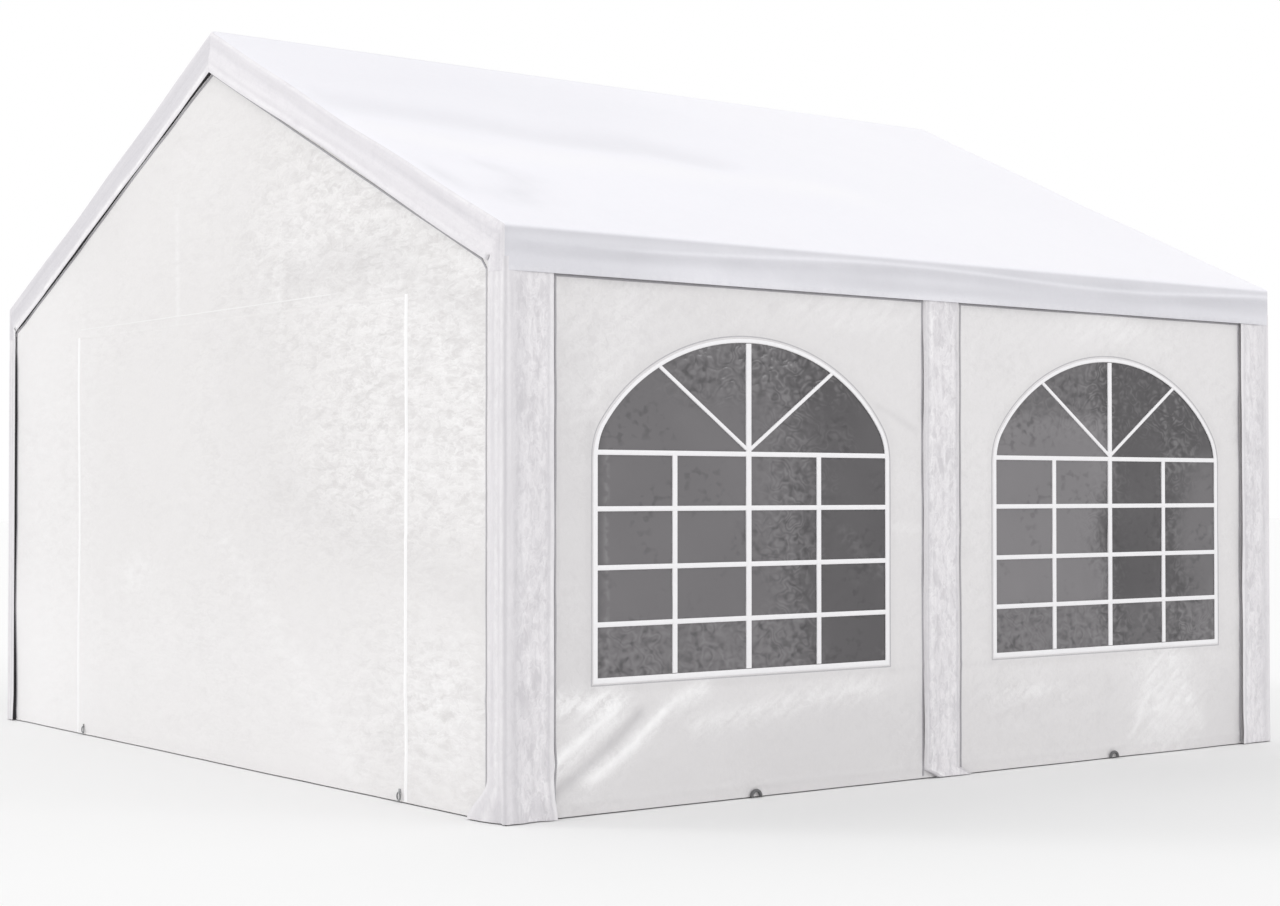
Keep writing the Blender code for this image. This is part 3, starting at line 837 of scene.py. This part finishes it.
def corner_sleeve_grid(side):
    """A sleeve in plan like an L with a rounded corner, from the door side round to the window side. On a door end's
    right its door edge spreads over the foot."""
    x, y, nx, ny = corner_sleeve_plan()
    steps = added_up(np.hypot(np.diff(x), np.diff(y)))
    share = (steps / steps[-1])[None, :]
    z = np.concatenate([np.linspace(HEM_Z, 0.22, 36)[:-1], np.linspace(0.22, SLEEVE_TOP_Z, 92)])[:, None]
    spread = 1.0 if side > 0 else 0.0
    low = smooth(0.17, 0.0, z)
    below = smooth(SKIRT_Z - 0.01, SKIRT_Z - 0.14, z)
    out = stand_off(x * side)[None, :] * (nx == 0.0)[None, :] + 0.0015 * smooth(0.72, 1.0, share) * below
    ridges = 0.0013 * np.sin(2.0 * np.pi * share * 9.0) * bell(share, 0.18, 0.12)
    long_folds = 0.0028 * buckles(share * 0.55, z * 0.30, 41, 0.16) * smooth(0.36, 0.5, share)
    rim = bells(share, (0.0012, 0.965, 0.02), (-0.0012, 0.925, 0.015))
    foot = 0.012 * low ** 1.5 * (0.8 + 0.4 * np.sin(2.0 * np.pi * (share * 2.3 + 0.1))) * (0.35 + 0.65 * spread)
    dent = bells(share, (-0.012, 0.25, 0.03), (0.008, 0.33, 0.035)) * low * spread
    move = out + (ridges + long_folds + rim) * below + foot + dent - 0.0013 * (1.0 - below)
    slide = -0.105 * smooth(0.15, 0.0, z) ** 1.25 * smooth(0.28, 0.0, share) ** 0.8 * spread
    kick = 0.006 * smooth(0.08, 0.0, z) * smooth(0.6, 1.0, share)
    px = x[None, :] + nx[None, :] * move + slide
    py = y[None, :] + ny[None, :] * move + kick
    # Painted shade along the sleeve's folds and at its corner, edge and foot, and painted highlights on its fold
    # ridges and by its edge
    shade = 0.12 * smooth(0.34, 0.40, share) + bells(
        share, (0.52, 0.315, 0.024), (0.24, 0.10, 0.035), (0.22, 0.21, 0.02), (0.38, 0.925, 0.015),
        (0.25, 0.46, 0.09), (0.35 * low * spread, 0.25, 0.04))
    painted_highlight = bells(share, (0.50, 0.16, 0.025), (0.40, 0.97, 0.02), (0.30, 0.27, 0.015))
    crumple = 0.58 * smooth(0.38, 0.5, share) * smooth(0.95, 0.88, share) + 0.10
    return stacked(px * side, py, z), stacked(steps, z), (shade, painted_highlight, crumple)


SLEEVE_SHADOW_TAPE_TOP = 1.842
corners = (("front_right", 1.0, 1), ("front_left", 1.0, -1), ("back_left", -1.0, 1), ("back_right", -1.0, -1))
for place, turn, side in corners:
    sleeve, sleeve_uv, marks = corner_sleeve_grid(side)
    edge = sleeve[:, 0] + np.array([side * 0.0015, 0.0016, 0.0])
    edge = edge[edge[:, 2] < SLEEVE_SHADOW_TAPE_TOP]
    # A strip that paints the shadow in the gap beside the sleeve's door edge: near-black on one hand, a lighter colour
    # on the other
    tape = gap_shadow_tape(f"sleeve_gap_shadow_tape_{place}", edge, turn, seam_and_shadow_grey if side > 0 else gap_shadow_black)
    cloth_piece(
        f"corner_sleeve_sheet_{place}", turned(sleeve, turn), sleeve_uv, sleeve_cloth,
        [f"corner_sleeve_{place}"], marks,
    )


def mid_sleeve_grid():
    """A flat sleeve with long soft folds, its lowest part drawn sharply to one side."""
    share = np.linspace(-1.0, 1.0, 35)[None, :]
    off = np.abs(share)
    z = np.concatenate([np.linspace(HEM_Z, 0.06, 22)[:-1], np.linspace(0.06, SLEEVE_TOP_Z, 108)])[:, None]
    kick = 0.065 * np.clip((0.034 - z) / 0.031, 0.0, 1.0) ** 0.9
    below = smooth(SKIRT_Z - 0.01, SKIRT_Z - 0.14, z)
    folds = 0.0030 * buckles(share * 0.06, z * 0.30, 51, 0.14) * below
    rim = bells(off, (0.0010, 0.92, 0.04), (-0.0012, 0.82, 0.04))
    x = HALF_WIDTH - 0.0005 + folds + rim - 0.0013 * (1.0 - below) + 0.005 * smooth(0.05, 0.0, z)
    x = x - 0.0105 * smooth(0.90, 1.0, off) ** 2
    # Painted shade over the sleeve, darkest near its edges, at its foot and along one edge, and painted highlights on
    # two of its folds
    shade = 0.08 + bells(off, (0.38, 0.82, 0.05), (0.9 * smooth(0.05, 0.02, z), 1.0, 0.05))
    shade = shade + 0.55 * bell(share, 0.98, 0.03)
    painted_highlight = bells(share, (0.45, -0.62, 0.06), (0.25, 0.35, 0.06))
    crumple = 0.60 * smooth(0.95, 0.75, off) + 0.10
    return stacked(x, share * MID_SLEEVE + kick, z), stacked(share * MID_SLEEVE, z), (shade, painted_highlight, crumple)


for side_name, turn, _, _ in SIDES:
    sleeve, sleeve_uv, marks = mid_sleeve_grid()
    cloth_piece(
        f"mid_sleeve_sheet_{side_name}", turned(sleeve, turn), sleeve_uv, sleeve_cloth,
        [f"mid_sleeve_{side_name}"], marks,
    )


# Window walls, films, frames and bars

def arch_top(offset, grow=0.0):
    """The height of the window's arch at a distance from its middle: part of an ellipse."""
    share = np.clip(np.abs(offset) / (ARCH_HALF + grow), 0.0, 1.0)
    return ARCH_Z + (ARCH_RISE + grow) * np.sqrt(1.0 - share * share)


def window_outline(centre, grow=0.0):
    """The window's outline grown or drawn in: jamb, arch, jamb and sill, going round from the far lower corner."""
    half = WINDOW_HALF + grow
    low = SILL_Z - grow
    first = math.acos(half / (ARCH_HALF + grow))
    angle = np.linspace(first, math.pi - first, 100)
    arch = stacked(centre + (ARCH_HALF + grow) * np.cos(angle), ARCH_Z + (ARCH_RISE + grow) * np.sin(angle))
    z = np.linspace(low, arch[0, 1], 50)[:-1]
    a = np.linspace(centre - half, centre + half, 70)[1:-1]
    return np.concatenate([stacked(centre + half, z), arch, stacked(centre - half, z[::-1]), stacked(a, low)])


def eased(path):
    """The window's outline with its two shoulders rounded: near them each point is the mean of itself and its eight
    neighbours."""
    mean = sum(np.roll(path, k, axis=0) for k in range(-4, 5)) / 9.0
    near = smooth(0.14, 0.05, np.abs(path[:, 1] - arch_top(WINDOW_HALF)))[:, None]
    return path + (mean - path) * near


def beside_window(a, z, centre):
    """About how far a point of the wall is from the window's outline, counted outward."""
    offset = np.abs(a - centre)
    round_arch = np.sqrt((offset / ARCH_HALF) ** 2 + (np.maximum(z - ARCH_Z, 0.0) / ARCH_RISE) ** 2)
    return np.maximum(np.maximum(offset - WINDOW_HALF, SILL_Z - z), ARCH_RISE * (round_arch - 1.0))


def outer_rectangle(inner, centre, low, high):
    """For each point of the window's outline, the point of the panel's edge on the same ray from the window's
    middle."""
    middle = np.array([centre, MIDDLE_Z])
    ray = inner - middle
    with np.errstate(divide="ignore"):
        limits = np.stack([
            np.where(ray[:, 0] > 0, (high - centre) / ray[:, 0], (low - centre) / ray[:, 0]),
            np.where(ray[:, 1] > 0, (WALL_TOP_Z - MIDDLE_Z) / ray[:, 1], (HEM_Z - MIDDLE_Z) / ray[:, 1]),
        ])
    limits = np.where(np.isfinite(limits) & (limits > 0), limits, np.inf)
    outer = middle + ray * limits.min(axis=0)[:, None]
    for corner in ((low, HEM_Z), (high, HEM_Z), (high, WALL_TOP_Z), (low, WALL_TOP_Z)):
        outer[np.argmin(np.linalg.norm(outer - corner, axis=1))] = corner
    return outer


# Drawn folds of the wall nearer the door end and of the one further off: height, path and width
NEAR_FOLDS = (
    (0.0070, [(-1.85, 0.17), (-1.70, 0.26), (-1.56, 0.35)], 0.030),
    (0.0065, [(-1.67, 0.12), (-1.50, 0.22), (-1.36, 0.33), (-1.20, 0.41)], 0.024),
    (-0.0050, [(-1.84, 0.08), (-1.62, 0.20), (-1.44, 0.33)], 0.030),
    (0.0030, [(-1.45, 0.14), (-1.05, 0.33)], 0.022),
    (0.0025, [(-1.20, 0.28), (-0.75, 0.33), (-0.35, 0.36)], 0.022),
    (0.0030, [(-0.30, 1.46), (-0.12, 1.34)], 0.014),
)
FAR_FOLDS = (
    (0.0040, [(1.10, 0.08), (1.20, 0.42)], 0.050),
    (0.0035, [(1.50, 0.05), (1.60, 0.40)], 0.050),
    (0.0035, [(0.30, 0.22), (0.75, 0.34)], 0.022),
    (0.0020, [(0.40, 0.14), (0.95, 0.20)], 0.030),
)

# Crumpled bands of the nearer wall, which also carry painted highlights, and its lines of painted light and painted
# shade along its folds, with the strength of their shade
NEAR_BANDS = (
    ([(-1.86, 0.15), (-1.72, 0.24), (-1.58, 0.33)], 0.050),
    ([(-1.68, 0.11), (-1.50, 0.21), (-1.34, 0.33), (-1.18, 0.40)], 0.034),
    ([(-1.86, 0.37), (-1.55, 0.38)], 0.045),
    ([(-1.20, 0.27), (-0.75, 0.33), (-0.35, 0.36)], 0.045),
)
NEAR_SHADE_LINES = (
    (-0.75, [(-1.84, 0.18), (-1.70, 0.26), (-1.58, 0.34)], 0.014),
    (-0.85, [(-1.66, 0.12), (-1.50, 0.22), (-1.36, 0.33)], 0.012),
    (-0.25, [(-1.36, 0.33), (-1.20, 0.41)], 0.016),
    (0.62, [(-1.84, 0.07), (-1.64, 0.19), (-1.46, 0.33)], 0.022),
    (0.28, [(-0.33, 1.42), (-0.13, 1.33)], 0.012),
)


def wall_relief(a, z, centre, low, high, seed):
    """How far the window wall stands proud: soft buckles, packing folds, and drawn folds, all calm at its edges and
    round the window."""
    relief = 0.0022 * buckles(a, z, seed, 0.75) + 0.0010 * buckles(a, z, seed + 1, 0.30)
    relief = relief + bells(z, (0.0018, 0.428, 0.010), (0.0012, 0.95, 0.010), (0.0014, 0.045, 0.010))
    relief = relief + 0.0012 * bell(a, centre - 0.83, 0.010)
    for height, path, width in (NEAR_FOLDS if centre < 0 else FAR_FOLDS):
        relief = relief + height * crease(a, z, path, width, FOLD_SHARPNESS)
    calm = smooth(0.0, 0.07, beside_window(a, z, centre))
    calm = calm * smooth(high + 0.001, high - 0.05, a) * smooth(low - 0.001, low + 0.05, a)
    return np.clip(relief * calm, RELIEF_LOW, 0.0075)


def wall_marks(a, z, centre):
    """Painted shade, painted highlights and crumpling of the window wall, round the window, low down and along its
    folds:
    mostly low down at the near corner of one bay and the far corner of the other."""
    shade = 0.16 * bell(beside_window(a, z, centre), 0.03, 0.02) + 0.10 * smooth(0.40, 0.30, z)
    shade = shade + 0.16 * bell(z, 0.425, 0.006) * smooth(0.0, 0.02, np.abs(a - centre) - WINDOW_HALF)
    if centre < 0:
        first, second, upper, right = (crease(a, z, *band) for band in NEAR_BANDS)
        shade = shade + creases(a, z, *NEAR_SHADE_LINES) - 0.20 * (first + second + 0.6 * upper + 0.5 * right)
        shade = shade + 0.26 * smooth(-1.62, -1.68, a) * smooth(0.36, 0.46, z) * smooth(1.75, 1.5, z)
        shade = shade + 0.10 * smooth(0.42, 0.2, z) * smooth(-1.2, -0.8, a)
        painted_highlight = 0.70 * first + 0.60 * second + 0.75 * upper + 0.40 * right
        painted_highlight = painted_highlight + 0.35 * patch(a, z, (-0.45, 1.76), (0.35, 0.07)) + creases(
            a, z, (0.22, [(-1.70, 1.40), (-1.45, 1.78)], 0.08), (0.30, [(-0.28, 0.97), (-0.12, 0.95)], 0.02))
        crumple = 0.35 * first + 0.35 * second + 0.5 * upper + 0.25 * right
        return shade, painted_highlight, crumple + 0.20 * patch(a, z, (-1.6, 1.5), (0.25, 0.4))
    # A tent-shaped fold of painted light and painted highlights low on the far wall
    tent = patch(a, z, (1.33, 0.22), (0.20, 0.20))
    shade = shade - 0.40 * tent - 0.08 + 0.10 * smooth(1.0, 1.7, a) + 0.06 * smooth(0.42, 0.2, z)
    painted_highlight = 0.50 * tent + patches(a, z, (0.35, (0.95, 1.76), (0.35, 0.06)), (0.45, (0.50, 0.30), (0.22, 0.03)))
    painted_highlight = painted_highlight + creases(
        a, z, (0.35, [(1.30, 0.41), (1.12, 0.08)], 0.025), (0.35, [(1.36, 0.41), (1.56, 0.10)], 0.025))
    return shade, painted_highlight, 0.35 * tent + 0.25 * patch(a, z, (0.5, 0.30), (0.4, 0.10))


def window_wall_grid(centre, low, high, seed):
    """A ring of points between the window's outline and the panel's edge, lifted by the wall's relief."""
    inner = window_outline(centre)
    outer = outer_rectangle(inner, centre, low, high)
    t = (np.linspace(0.0, 1.0, 54) ** 0.95)[:, None, None]
    plane = inner[None] + (outer - inner)[None] * t
    a = plane[..., 0]
    z = plane[..., 1]
    return stacked(a, z, wall_relief(a, z, centre, low, high, seed)), plane, wall_marks(a, z, centre)


def film_marks(a, z, centre, offset, seed):
    """Where the film has painted shade, painted reflections and ripples, from its middle: painted shade darker on the
    right past a wavering edge, with ripples along it, across the bottom and in the arch."""
    up = z - MIDDLE_Z
    wave = offset + 0.07 * buckles(offset + 0.0 * z, up, seed + 1, 0.55, 12)
    bottom = smooth(-0.33, -0.38, up) * (0.80 + 0.20 * buckles(a, z, seed + 2, 0.4))
    blotch = smooth(0.15, 0.9, buckles(offset + 0.0 * z, up, seed + 3, 0.45, 12))
    if centre < 0:
        shade = 0.38 + 0.40 * smooth(0.10, 0.36, wave) + 0.10 * smooth(0.25, 0.55, up)
        shade = shade - 0.10 * bottom * smooth(0.3, 0.2, offset) + 0.25 * bell(offset, -0.660, 0.012)
        uneven = 0.85 * bell(wave, 0.20, 0.13) * smooth(-0.42, -0.30, up) + 0.85 * bottom * smooth(0.40, 0.25, offset)
        uneven = uneven + 0.70 * smooth(0.36, 0.50, up) * smooth(-0.5, -0.2, offset)
        uneven = uneven + 0.30 * blotch * smooth(0.30, 0.40, offset)
        painted_highlight = 0.30 * bell(offset, -0.635, 0.010) * smooth(0.26, 0.2, up)
        return shade, painted_highlight + 0.25 * blotch * bell(offset, 0.50, 0.12) * bell(up, -0.25, 0.2), uneven
    pale = (1.0 - 0.62 * smooth(0.36, 0.62, wave) * smooth(0.30, 0.20, up)) * (1.0 - 0.35 * bottom)
    shade = 0.10 + 0.80 * smooth(-0.10, 0.06, wave) * pale + 0.25 * bottom * smooth(0.1, 0.0, offset)
    shade = shade + 0.45 * smooth(0.36, 0.45, up) * smooth(0.1, -0.1, wave)
    uneven = 0.70 * bell(wave, -0.02, 0.09) + 0.70 * bottom * smooth(0.20, 0.05, offset)
    uneven = uneven + 0.45 * smooth(0.25, 0.40, up) + 0.60 * bottom * smooth(0.30, 0.45, offset)
    return shade, 0.20 * blotch * smooth(0.05, 0.2, offset), uneven + 0.55 * bell(wave, 0.42, 0.10)


def film_grid(centre, seed):
    """The window's film in columns from sill to arch, with a slow ripple that fades at the frame. Its flat
    coordinates start at the window's middle."""
    offset = np.linspace(-WINDOW_HALF - FILM_LAP, WINDOW_HALF + FILM_LAP, 84)[None, :]
    t = np.linspace(0.0, 1.0, 80)[:, None]
    low = SILL_Z - FILM_LAP
    z = low + (arch_top(offset, FILM_LAP) - low) * t
    a = centre + offset + 0.0 * z
    calm = smooth(0.0, 0.05, -beside_window(a, z, centre))
    ripple = 0.0015 * buckles(a, z, seed, 0.30, 14) * calm
    return stacked(a, z, ripple - 0.0030), stacked(offset, z - MIDDLE_Z), film_marks(a, z, centre, offset, seed)


def window_bars(centre):
    """The white strips welded to the film: a frame, one middle and two quarter posts, four rails and two rays."""
    half = WINDOW_HALF
    low = SILL_Z + 0.004
    outline = eased(window_outline(centre, 0.008))
    slim = 1.0 - 0.27 * smooth(RAIL_Z - 0.05, RAIL_Z + 0.15, outline[:, 1])
    bars = [strip(outline, ribbon(0.0195, 0.0026, 0.002), closed=True, narrowing=slim)]
    straight = [((0.0, low), (0.0, ARCH_Z + ARCH_RISE - 0.002), 0.024, 0.0024)]
    straight += [((share * half, low), (share * half, RAIL_Z - 0.003), 0.021, 0.0020) for share in (-0.5, 0.5)]
    straight += [((-half - 0.002, z), (half + 0.002, z), 0.0175, 0.0022) for z in (RAIL_Z, 1.038, 0.837, 0.643)]
    for end in (-0.404, 0.404):
        ray_top = (end, float(arch_top(end)) + 0.002)
        straight.append(((math.copysign(0.010, end), 1.250), ray_top, 0.0135, 0.0018))
    for (a0, z0), (a1, z1), width, height in straight:
        bars.append(strip([(centre + a0, z0), (centre + a1, z1)], ribbon(width, height, 0.005)))
    return bars


for side_name, turn, near, far in SIDES:
    for key, end_name, low, high in (("near", near, -WALL_EDGE, -0.001), ("far", far, 0.001, WALL_EDGE)):
        centre = WINDOWS[key]
        place = f"{side_name}_{end_name}"
        seed = 60 + 7 * (key == "far") + 3 * (turn < 0)

        def lift(a, z):
            return wall_relief(a, z, centre, low, high, seed)

        bars = solid_piece(f"window_bars_{place}", window_bars(centre), on_side, turn, bar_white)
        outline = eased(window_outline(centre, 0.0235))
        seam = strip(outline, ribbon(0.0042, 0.0008), closed=True, lift=lift)
        seam = solid_piece(f"window_seam_{place}", [seam], on_side, turn, seam_and_shadow_grey)
        first, last = -HALF_LENGTH + SLEEVE_SIDE, -MID_SLEEVE
        if key == "far":
            first, last = -last, -first
        first, last, bottom, top = first + 0.0155, last - 0.003, 0.012, SKIRT_Z - 0.004
        path = fine_path([(first, bottom), (first, top), (last, top), (last, bottom)])
        # A strip round the panel's edges under the skirt and sleeves that paints the shadow line along their edges
        shadow_line = strip(path, ribbon(0.0082, 0.0020), lift=lift)
        shadow_line = solid_piece(f"panel_shadow_line_{place}", [shadow_line], on_side, turn, shadow_line_grey)
        wall, wall_uv, marks = window_wall_grid(centre, low, high, seed)
        cloth_piece(
            f"window_wall_sheet_{place}", on_side(wall, turn), wall_uv, side_cloth,
            [f"window_wall_{place}"], marks, closed=True,
        )
        pane, pane_uv, marks = film_grid(centre, seed + 20)
        cloth_piece(
            f"window_film_{place}", on_side(pane, turn), pane_uv, film, [f"window_pane_{place}"],
            marks, thickness=THIN,
        )


# Gable walls, door flaps and zips

def hem_line(x, lowered):
    """The height of the gable skirt's hem, lowered by an amount."""
    fall = (GABLE_PEAK_Z - GABLE_CORNER_Z) / (HALF_WIDTH - SLEEVE_GABLE)
    return GABLE_PEAK_Z - fall * np.abs(x) - lowered


def gable_relief(x, z, seed):
    """How far the door end's wall stands proud: slow buckles, packing folds across and down, a bottom hem, and a
    lift below the skirt's left hem."""
    relief = 0.0030 * buckles(x, z, seed, 1.3) + 0.0012 * buckles(x, z, seed + 1, 0.4)
    relief = relief + bells(z, (0.0012 * smooth(0.2, 0.9, x), 0.92, 0.012), (0.0014, 0.045, 0.010))
    relief = relief + creases(
        x, z, (0.0018, [(0.52, 1.93), (0.58, 1.74)], 0.012, 1.4), (0.0034, [(1.10, 0.05), (1.75, 0.62)], 0.05, 1.4),
        (0.0030, [(1.55, 0.10), (2.02, 0.40)], 0.03, 1.3))
    below_hem = hem_line(x, 0.0) - z
    relief = relief + 0.0055 * smooth(0.20, 0.02, below_hem) * smooth(0.0, -0.15, x)
    relief = relief + 0.0040 * smooth(-1.97, -2.05, x)
    return np.clip(relief, RELIEF_LOW, 0.0080)


def gable_marks(x, z):
    """Painted shade, painted light, painted highlights and crumpling of the door end: crumpling mostly towards its
    right edge, as it was packed, and painted light to the left and low down.
    """
    crumple = 0.80 * smooth(0.1, 1.3, x) * smooth(0.7, 1.1, z) + patches(
        x, z, (0.60, (1.5, 0.35), (0.6, 0.35)), (0.30, (0.6, 2.2), (0.5, 0.4)), (0.25, (-0.5, 0.5), (0.6, 0.35)),
        (0.15, (0.3, 1.1), (0.4, 0.3)))
    painted_highlight = 0.26 * smooth(0.9, 1.6, x) * smooth(0.9, 1.2, z) + 0.12 * smooth(-0.6, -1.6, x)
    painted_highlight = painted_highlight + 0.40 * bell(x, -0.32, 0.012) * smooth(1.74, 1.82, z) * smooth(2.36, 2.30, z)
    painted_highlight = painted_highlight + patches(
        x, z, (0.40, (-0.72, 0.74), (0.17, 0.08)), (0.55, (1.75, 0.35), (0.30, 0.28)),
        (0.22, (0.75, 2.05), (0.30, 0.16)))
    painted_highlight = painted_highlight + creases(
        x, z, (0.22, [(0.1, 0.9), (1.2, 0.05)], 0.07), (0.45, [(0.53, 1.95), (0.60, 1.74)], 0.014),
        (0.30, [(1.30, 1.72), (1.32, 1.58)], 0.012), (0.25, [(0.80, 1.80), (1.55, 1.78)], 0.02))
    shade = 0.12 * patch(x, z, (0.4, 1.6), (0.3, 0.6)) + creases(
        x, z, (0.32, [(0.70, 1.92), (1.35, 1.95), (1.95, 1.70)], 0.10), (0.20, [(0.55, 1.1), (2.05, 0.72)], 0.10))
    shade = shade - 0.30 * smooth(-0.9, -1.8, x) - 0.26 * smooth(0.9, 0.3, z) * smooth(1.9, 0.9, x)
    return shade, painted_highlight, crumple


def gable_wall_grid(seed):
    """Columns across and rows up to the sloping top. The faces of the doorway are left out."""
    x = np.concatenate([
        np.linspace(-GABLE_EDGE, DOOR_LEFT, 27), np.linspace(DOOR_LEFT, DOOR_RIGHT, 97)[1:],
        np.linspace(DOOR_RIGHT, GABLE_EDGE, 23)[1:],
    ])
    rows = np.concatenate([np.linspace(0.0, 1.0, 75), 1.0 + np.linspace(0.0, 1.0, 38)[1:]])
    xx, share = np.meshgrid(x, rows, indexing="xy")
    top = WALL_TOP_Z + SLOPE * (GABLE_EDGE - np.abs(xx))
    z = np.where(share <= 1.0, HEM_Z + (DOOR_TOP - HEM_Z) * share, DOOR_TOP + (top - DOOR_TOP) * (share - 1.0))
    middle_x, middle_share = ((v[:-1, :-1] + v[1:, 1:]) / 2.0 for v in (xx, share))
    keep = ~((middle_x > DOOR_LEFT) & (middle_x < DOOR_RIGHT) & (middle_share < 1.0))
    return stacked(xx, z, gable_relief(xx, z, seed)), stacked(xx, z), keep, gable_marks(xx, z)


def door_flap_grid(seed):
    """The door flap, with the wall's own relief, flush in the doorway."""
    gap = 0.0002
    across = np.linspace(DOOR_LEFT + gap, DOOR_RIGHT - gap, 112)
    x, z = np.meshgrid(across, np.linspace(HEM_Z, DOOR_TOP - gap, 84), indexing="xy")
    return stacked(x, z, gable_relief(x, z, seed)), stacked(x, z), gable_marks(x, z)


def zip_strip(x, lift):
    """A zip: a flat tape with the closed teeth a little proud along its middle, following the wall."""
    z = np.linspace(0.006, DOOR_TOP + 0.005, 90)
    half = [(0.0022, 0.0020), (0.0032, 0.0008), (0.0095, 0.0006), (0.0105, -0.002)]
    return strip(stacked(x + 0.002 * np.sin(3.0 * z), z), [(-a, b) for a, b in half[::-1]] + half, lift=lift)


# The gable's painted shadow line under the skirt's hem, its cut corner, the height at which it starts, and the lighter
# strip of painted highlight along the crease over the door
SHADOW_LINE_LEFT = -2.052
SHADOW_LINE_RIGHT = 2.0235
SHADOW_LINE_CORNER = 0.03
SHADOW_LINE_LOW = 0.012
CREASE_HIGHLIGHT_Z = 1.8305
for end_name, turn in ENDS:
    seed = 90 if turn > 0 else 97

    def lift(x, z):
        return gable_relief(x, z, seed)

    def trim(name, corners, width, height, finish):
        """A flat strip through the corners given, on this gable's wall."""
        shape = strip(fine_path(corners), ribbon(width, height), lift=lift)
        return solid_piece(f"{name}_{end_name}", [shape], on_gable, turn, finish)

    for hand, x in (("left", DOOR_LEFT), ("right", DOOR_RIGHT)):
        shape = zip_strip(x, lift)
        solid_piece(f"door_zip_{end_name}_{hand}", [shape], on_gable, turn, zip_white)
    inner = SHADOW_LINE_RIGHT - SHADOW_LINE_CORNER
    # A strip up the left edge, under the skirt's hem and down to the right corner that paints the shadow line along
    # them
    shadow_line = trim("gable_shadow_line", [
        (SHADOW_LINE_LEFT, SHADOW_LINE_LOW), (SHADOW_LINE_LEFT, hem_line(SHADOW_LINE_LEFT, 0.008)), (0.0, GABLE_PEAK_Z - 0.012),
        (inner, hem_line(inner, 0.016)), (SHADOW_LINE_RIGHT, hem_line(SHADOW_LINE_RIGHT, 0.036)),
    ], 0.0085, 0.0020, shadow_line_grey)
    # A strip down the gable's right edge that paints the shadow line beside the sleeve
    side_shadow_strip = trim(
        "gable_shadow_strip", [(SHADOW_LINE_RIGHT, hem_line(SHADOW_LINE_RIGHT, 0.034)), (SHADOW_LINE_RIGHT, SHADOW_LINE_LOW)], 0.0080, 0.0018,
        seam_and_shadow_grey)
    # A lighter strip that paints the highlight along the crease above the door
    crease_highlight = trim("door_head_crease_highlight", [(DOOR_LEFT, CREASE_HIGHLIGHT_Z), (0.97, CREASE_HIGHLIGHT_Z)], 0.0050, 0.0008, crease_highlight_white)
    head = trim(
        "door_head_seam", [(DOOR_LEFT, DOOR_TOP + 0.001), (DOOR_RIGHT, DOOR_TOP + 0.001)], 0.010, 0.0003,
        gable_cloth)
    wall, wall_uv, keep, marks = gable_wall_grid(seed)
    cloth_piece(
        f"gable_wall_sheet_{end_name}", on_gable(wall, turn), wall_uv, gable_cloth,
        [f"gable_wall_{end_name}"], marks,
        keep=keep,
    )
    flap, flap_uv, marks = door_flap_grid(seed)
    cloth_piece(
        f"door_flap_sheet_{end_name}", on_gable(flap, turn), flap_uv, gable_cloth,
        [f"door_flap_{end_name}"], marks,
    )
    for hand, x in (("left", -1.265), ("right", 1.473)):
        eye = ring(x, 0.022, 0.006, 0.014, 0.0028, squash=0.75)
        tab = strip([(x, 0.033), (x, 0.048)], ribbon(0.012, 0.004))
        solid_piece(f"door_ring_{end_name}_{hand}", [eye, tab], on_gable, turn, ring_steel)

for side_name, turn, near, far in SIDES:
    for end_name, y in ((near, -0.937), (far, 0.996)):
        loop = ring(y, 0.004, 0.007, 0.021, 0.0062, sweep=math.pi)
        solid_piece(f"ground_loop_{side_name}_{end_name}", [loop], on_side, turn, loop_grey)

# Steel frame
for name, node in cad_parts.items():
    if name.startswith(("leg_", "rafter_", "ridge_", "eave_")):
        node.data.materials.clear()
        node.data.materials.append(tube_steel)


# Floor, light and camera

def sun(name, towards, strength, spread):
    """A soft distant light that shines from a direction, given as a vector towards it."""
    data = bpy.data.lights.new(name, "SUN")
    data.energy = strength
    data.angle = math.radians(spread)
    x, y, z = towards
    linked(name, data).rotation_euler = (math.atan2(math.hypot(x, y), z), 0.0, math.atan2(x, -y))


FLOOR_HALF = 70.0
FLOOR_Z = -0.001
floor_mesh = bpy.data.meshes.new("floor")
floor_corners = [(x * FLOOR_HALF, y * FLOOR_HALF, FLOOR_Z) for x, y in ((-1, -1), (1, -1), (1, 1), (-1, 1))]
floor_mesh.from_pydata(floor_corners, [], [(0, 1, 2, 3)])
floor = linked("floor", floor_mesh)
floor_finish, floor_shader, floor_place, _ = new_finish("floor_pale")
floor_place.fill(floor_shader, {"Base Color": (0.90, 0.90, 0.90, 1.0), "Roughness": 0.9, "Specular IOR Level": 0.1})
floor_mesh.materials.append(floor_finish)

world = bpy.data.worlds.new("studio")
bpy.context.scene.world = world
world.use_nodes = True
world.node_tree.nodes["Background"].inputs["Color"].default_value = (1.0, 1.0, 1.0, 1.0)
world.node_tree.nodes["Background"].inputs["Strength"].default_value = 1.0
sun("key_light", (-0.66, -0.62, 0.42), 0.45, 16.0)
sun("side_light", (0.78, 0.58, 0.30), 0.22, 16.0)

camera_data = bpy.data.cameras.new("camera")
camera_data.sensor_width = 36.0
camera_data.lens = 62.15
camera_data.clip_end = 300.0
camera = linked("camera", camera_data)
camera.location = (8.2007, -6.0918, 1.0972)
camera.rotation_euler = (math.pi / 2 + 0.0174, 0.0, 0.9182)
bpy.context.scene.camera = camera
bpy.context.scene.view_settings.view_transform = "Standard"
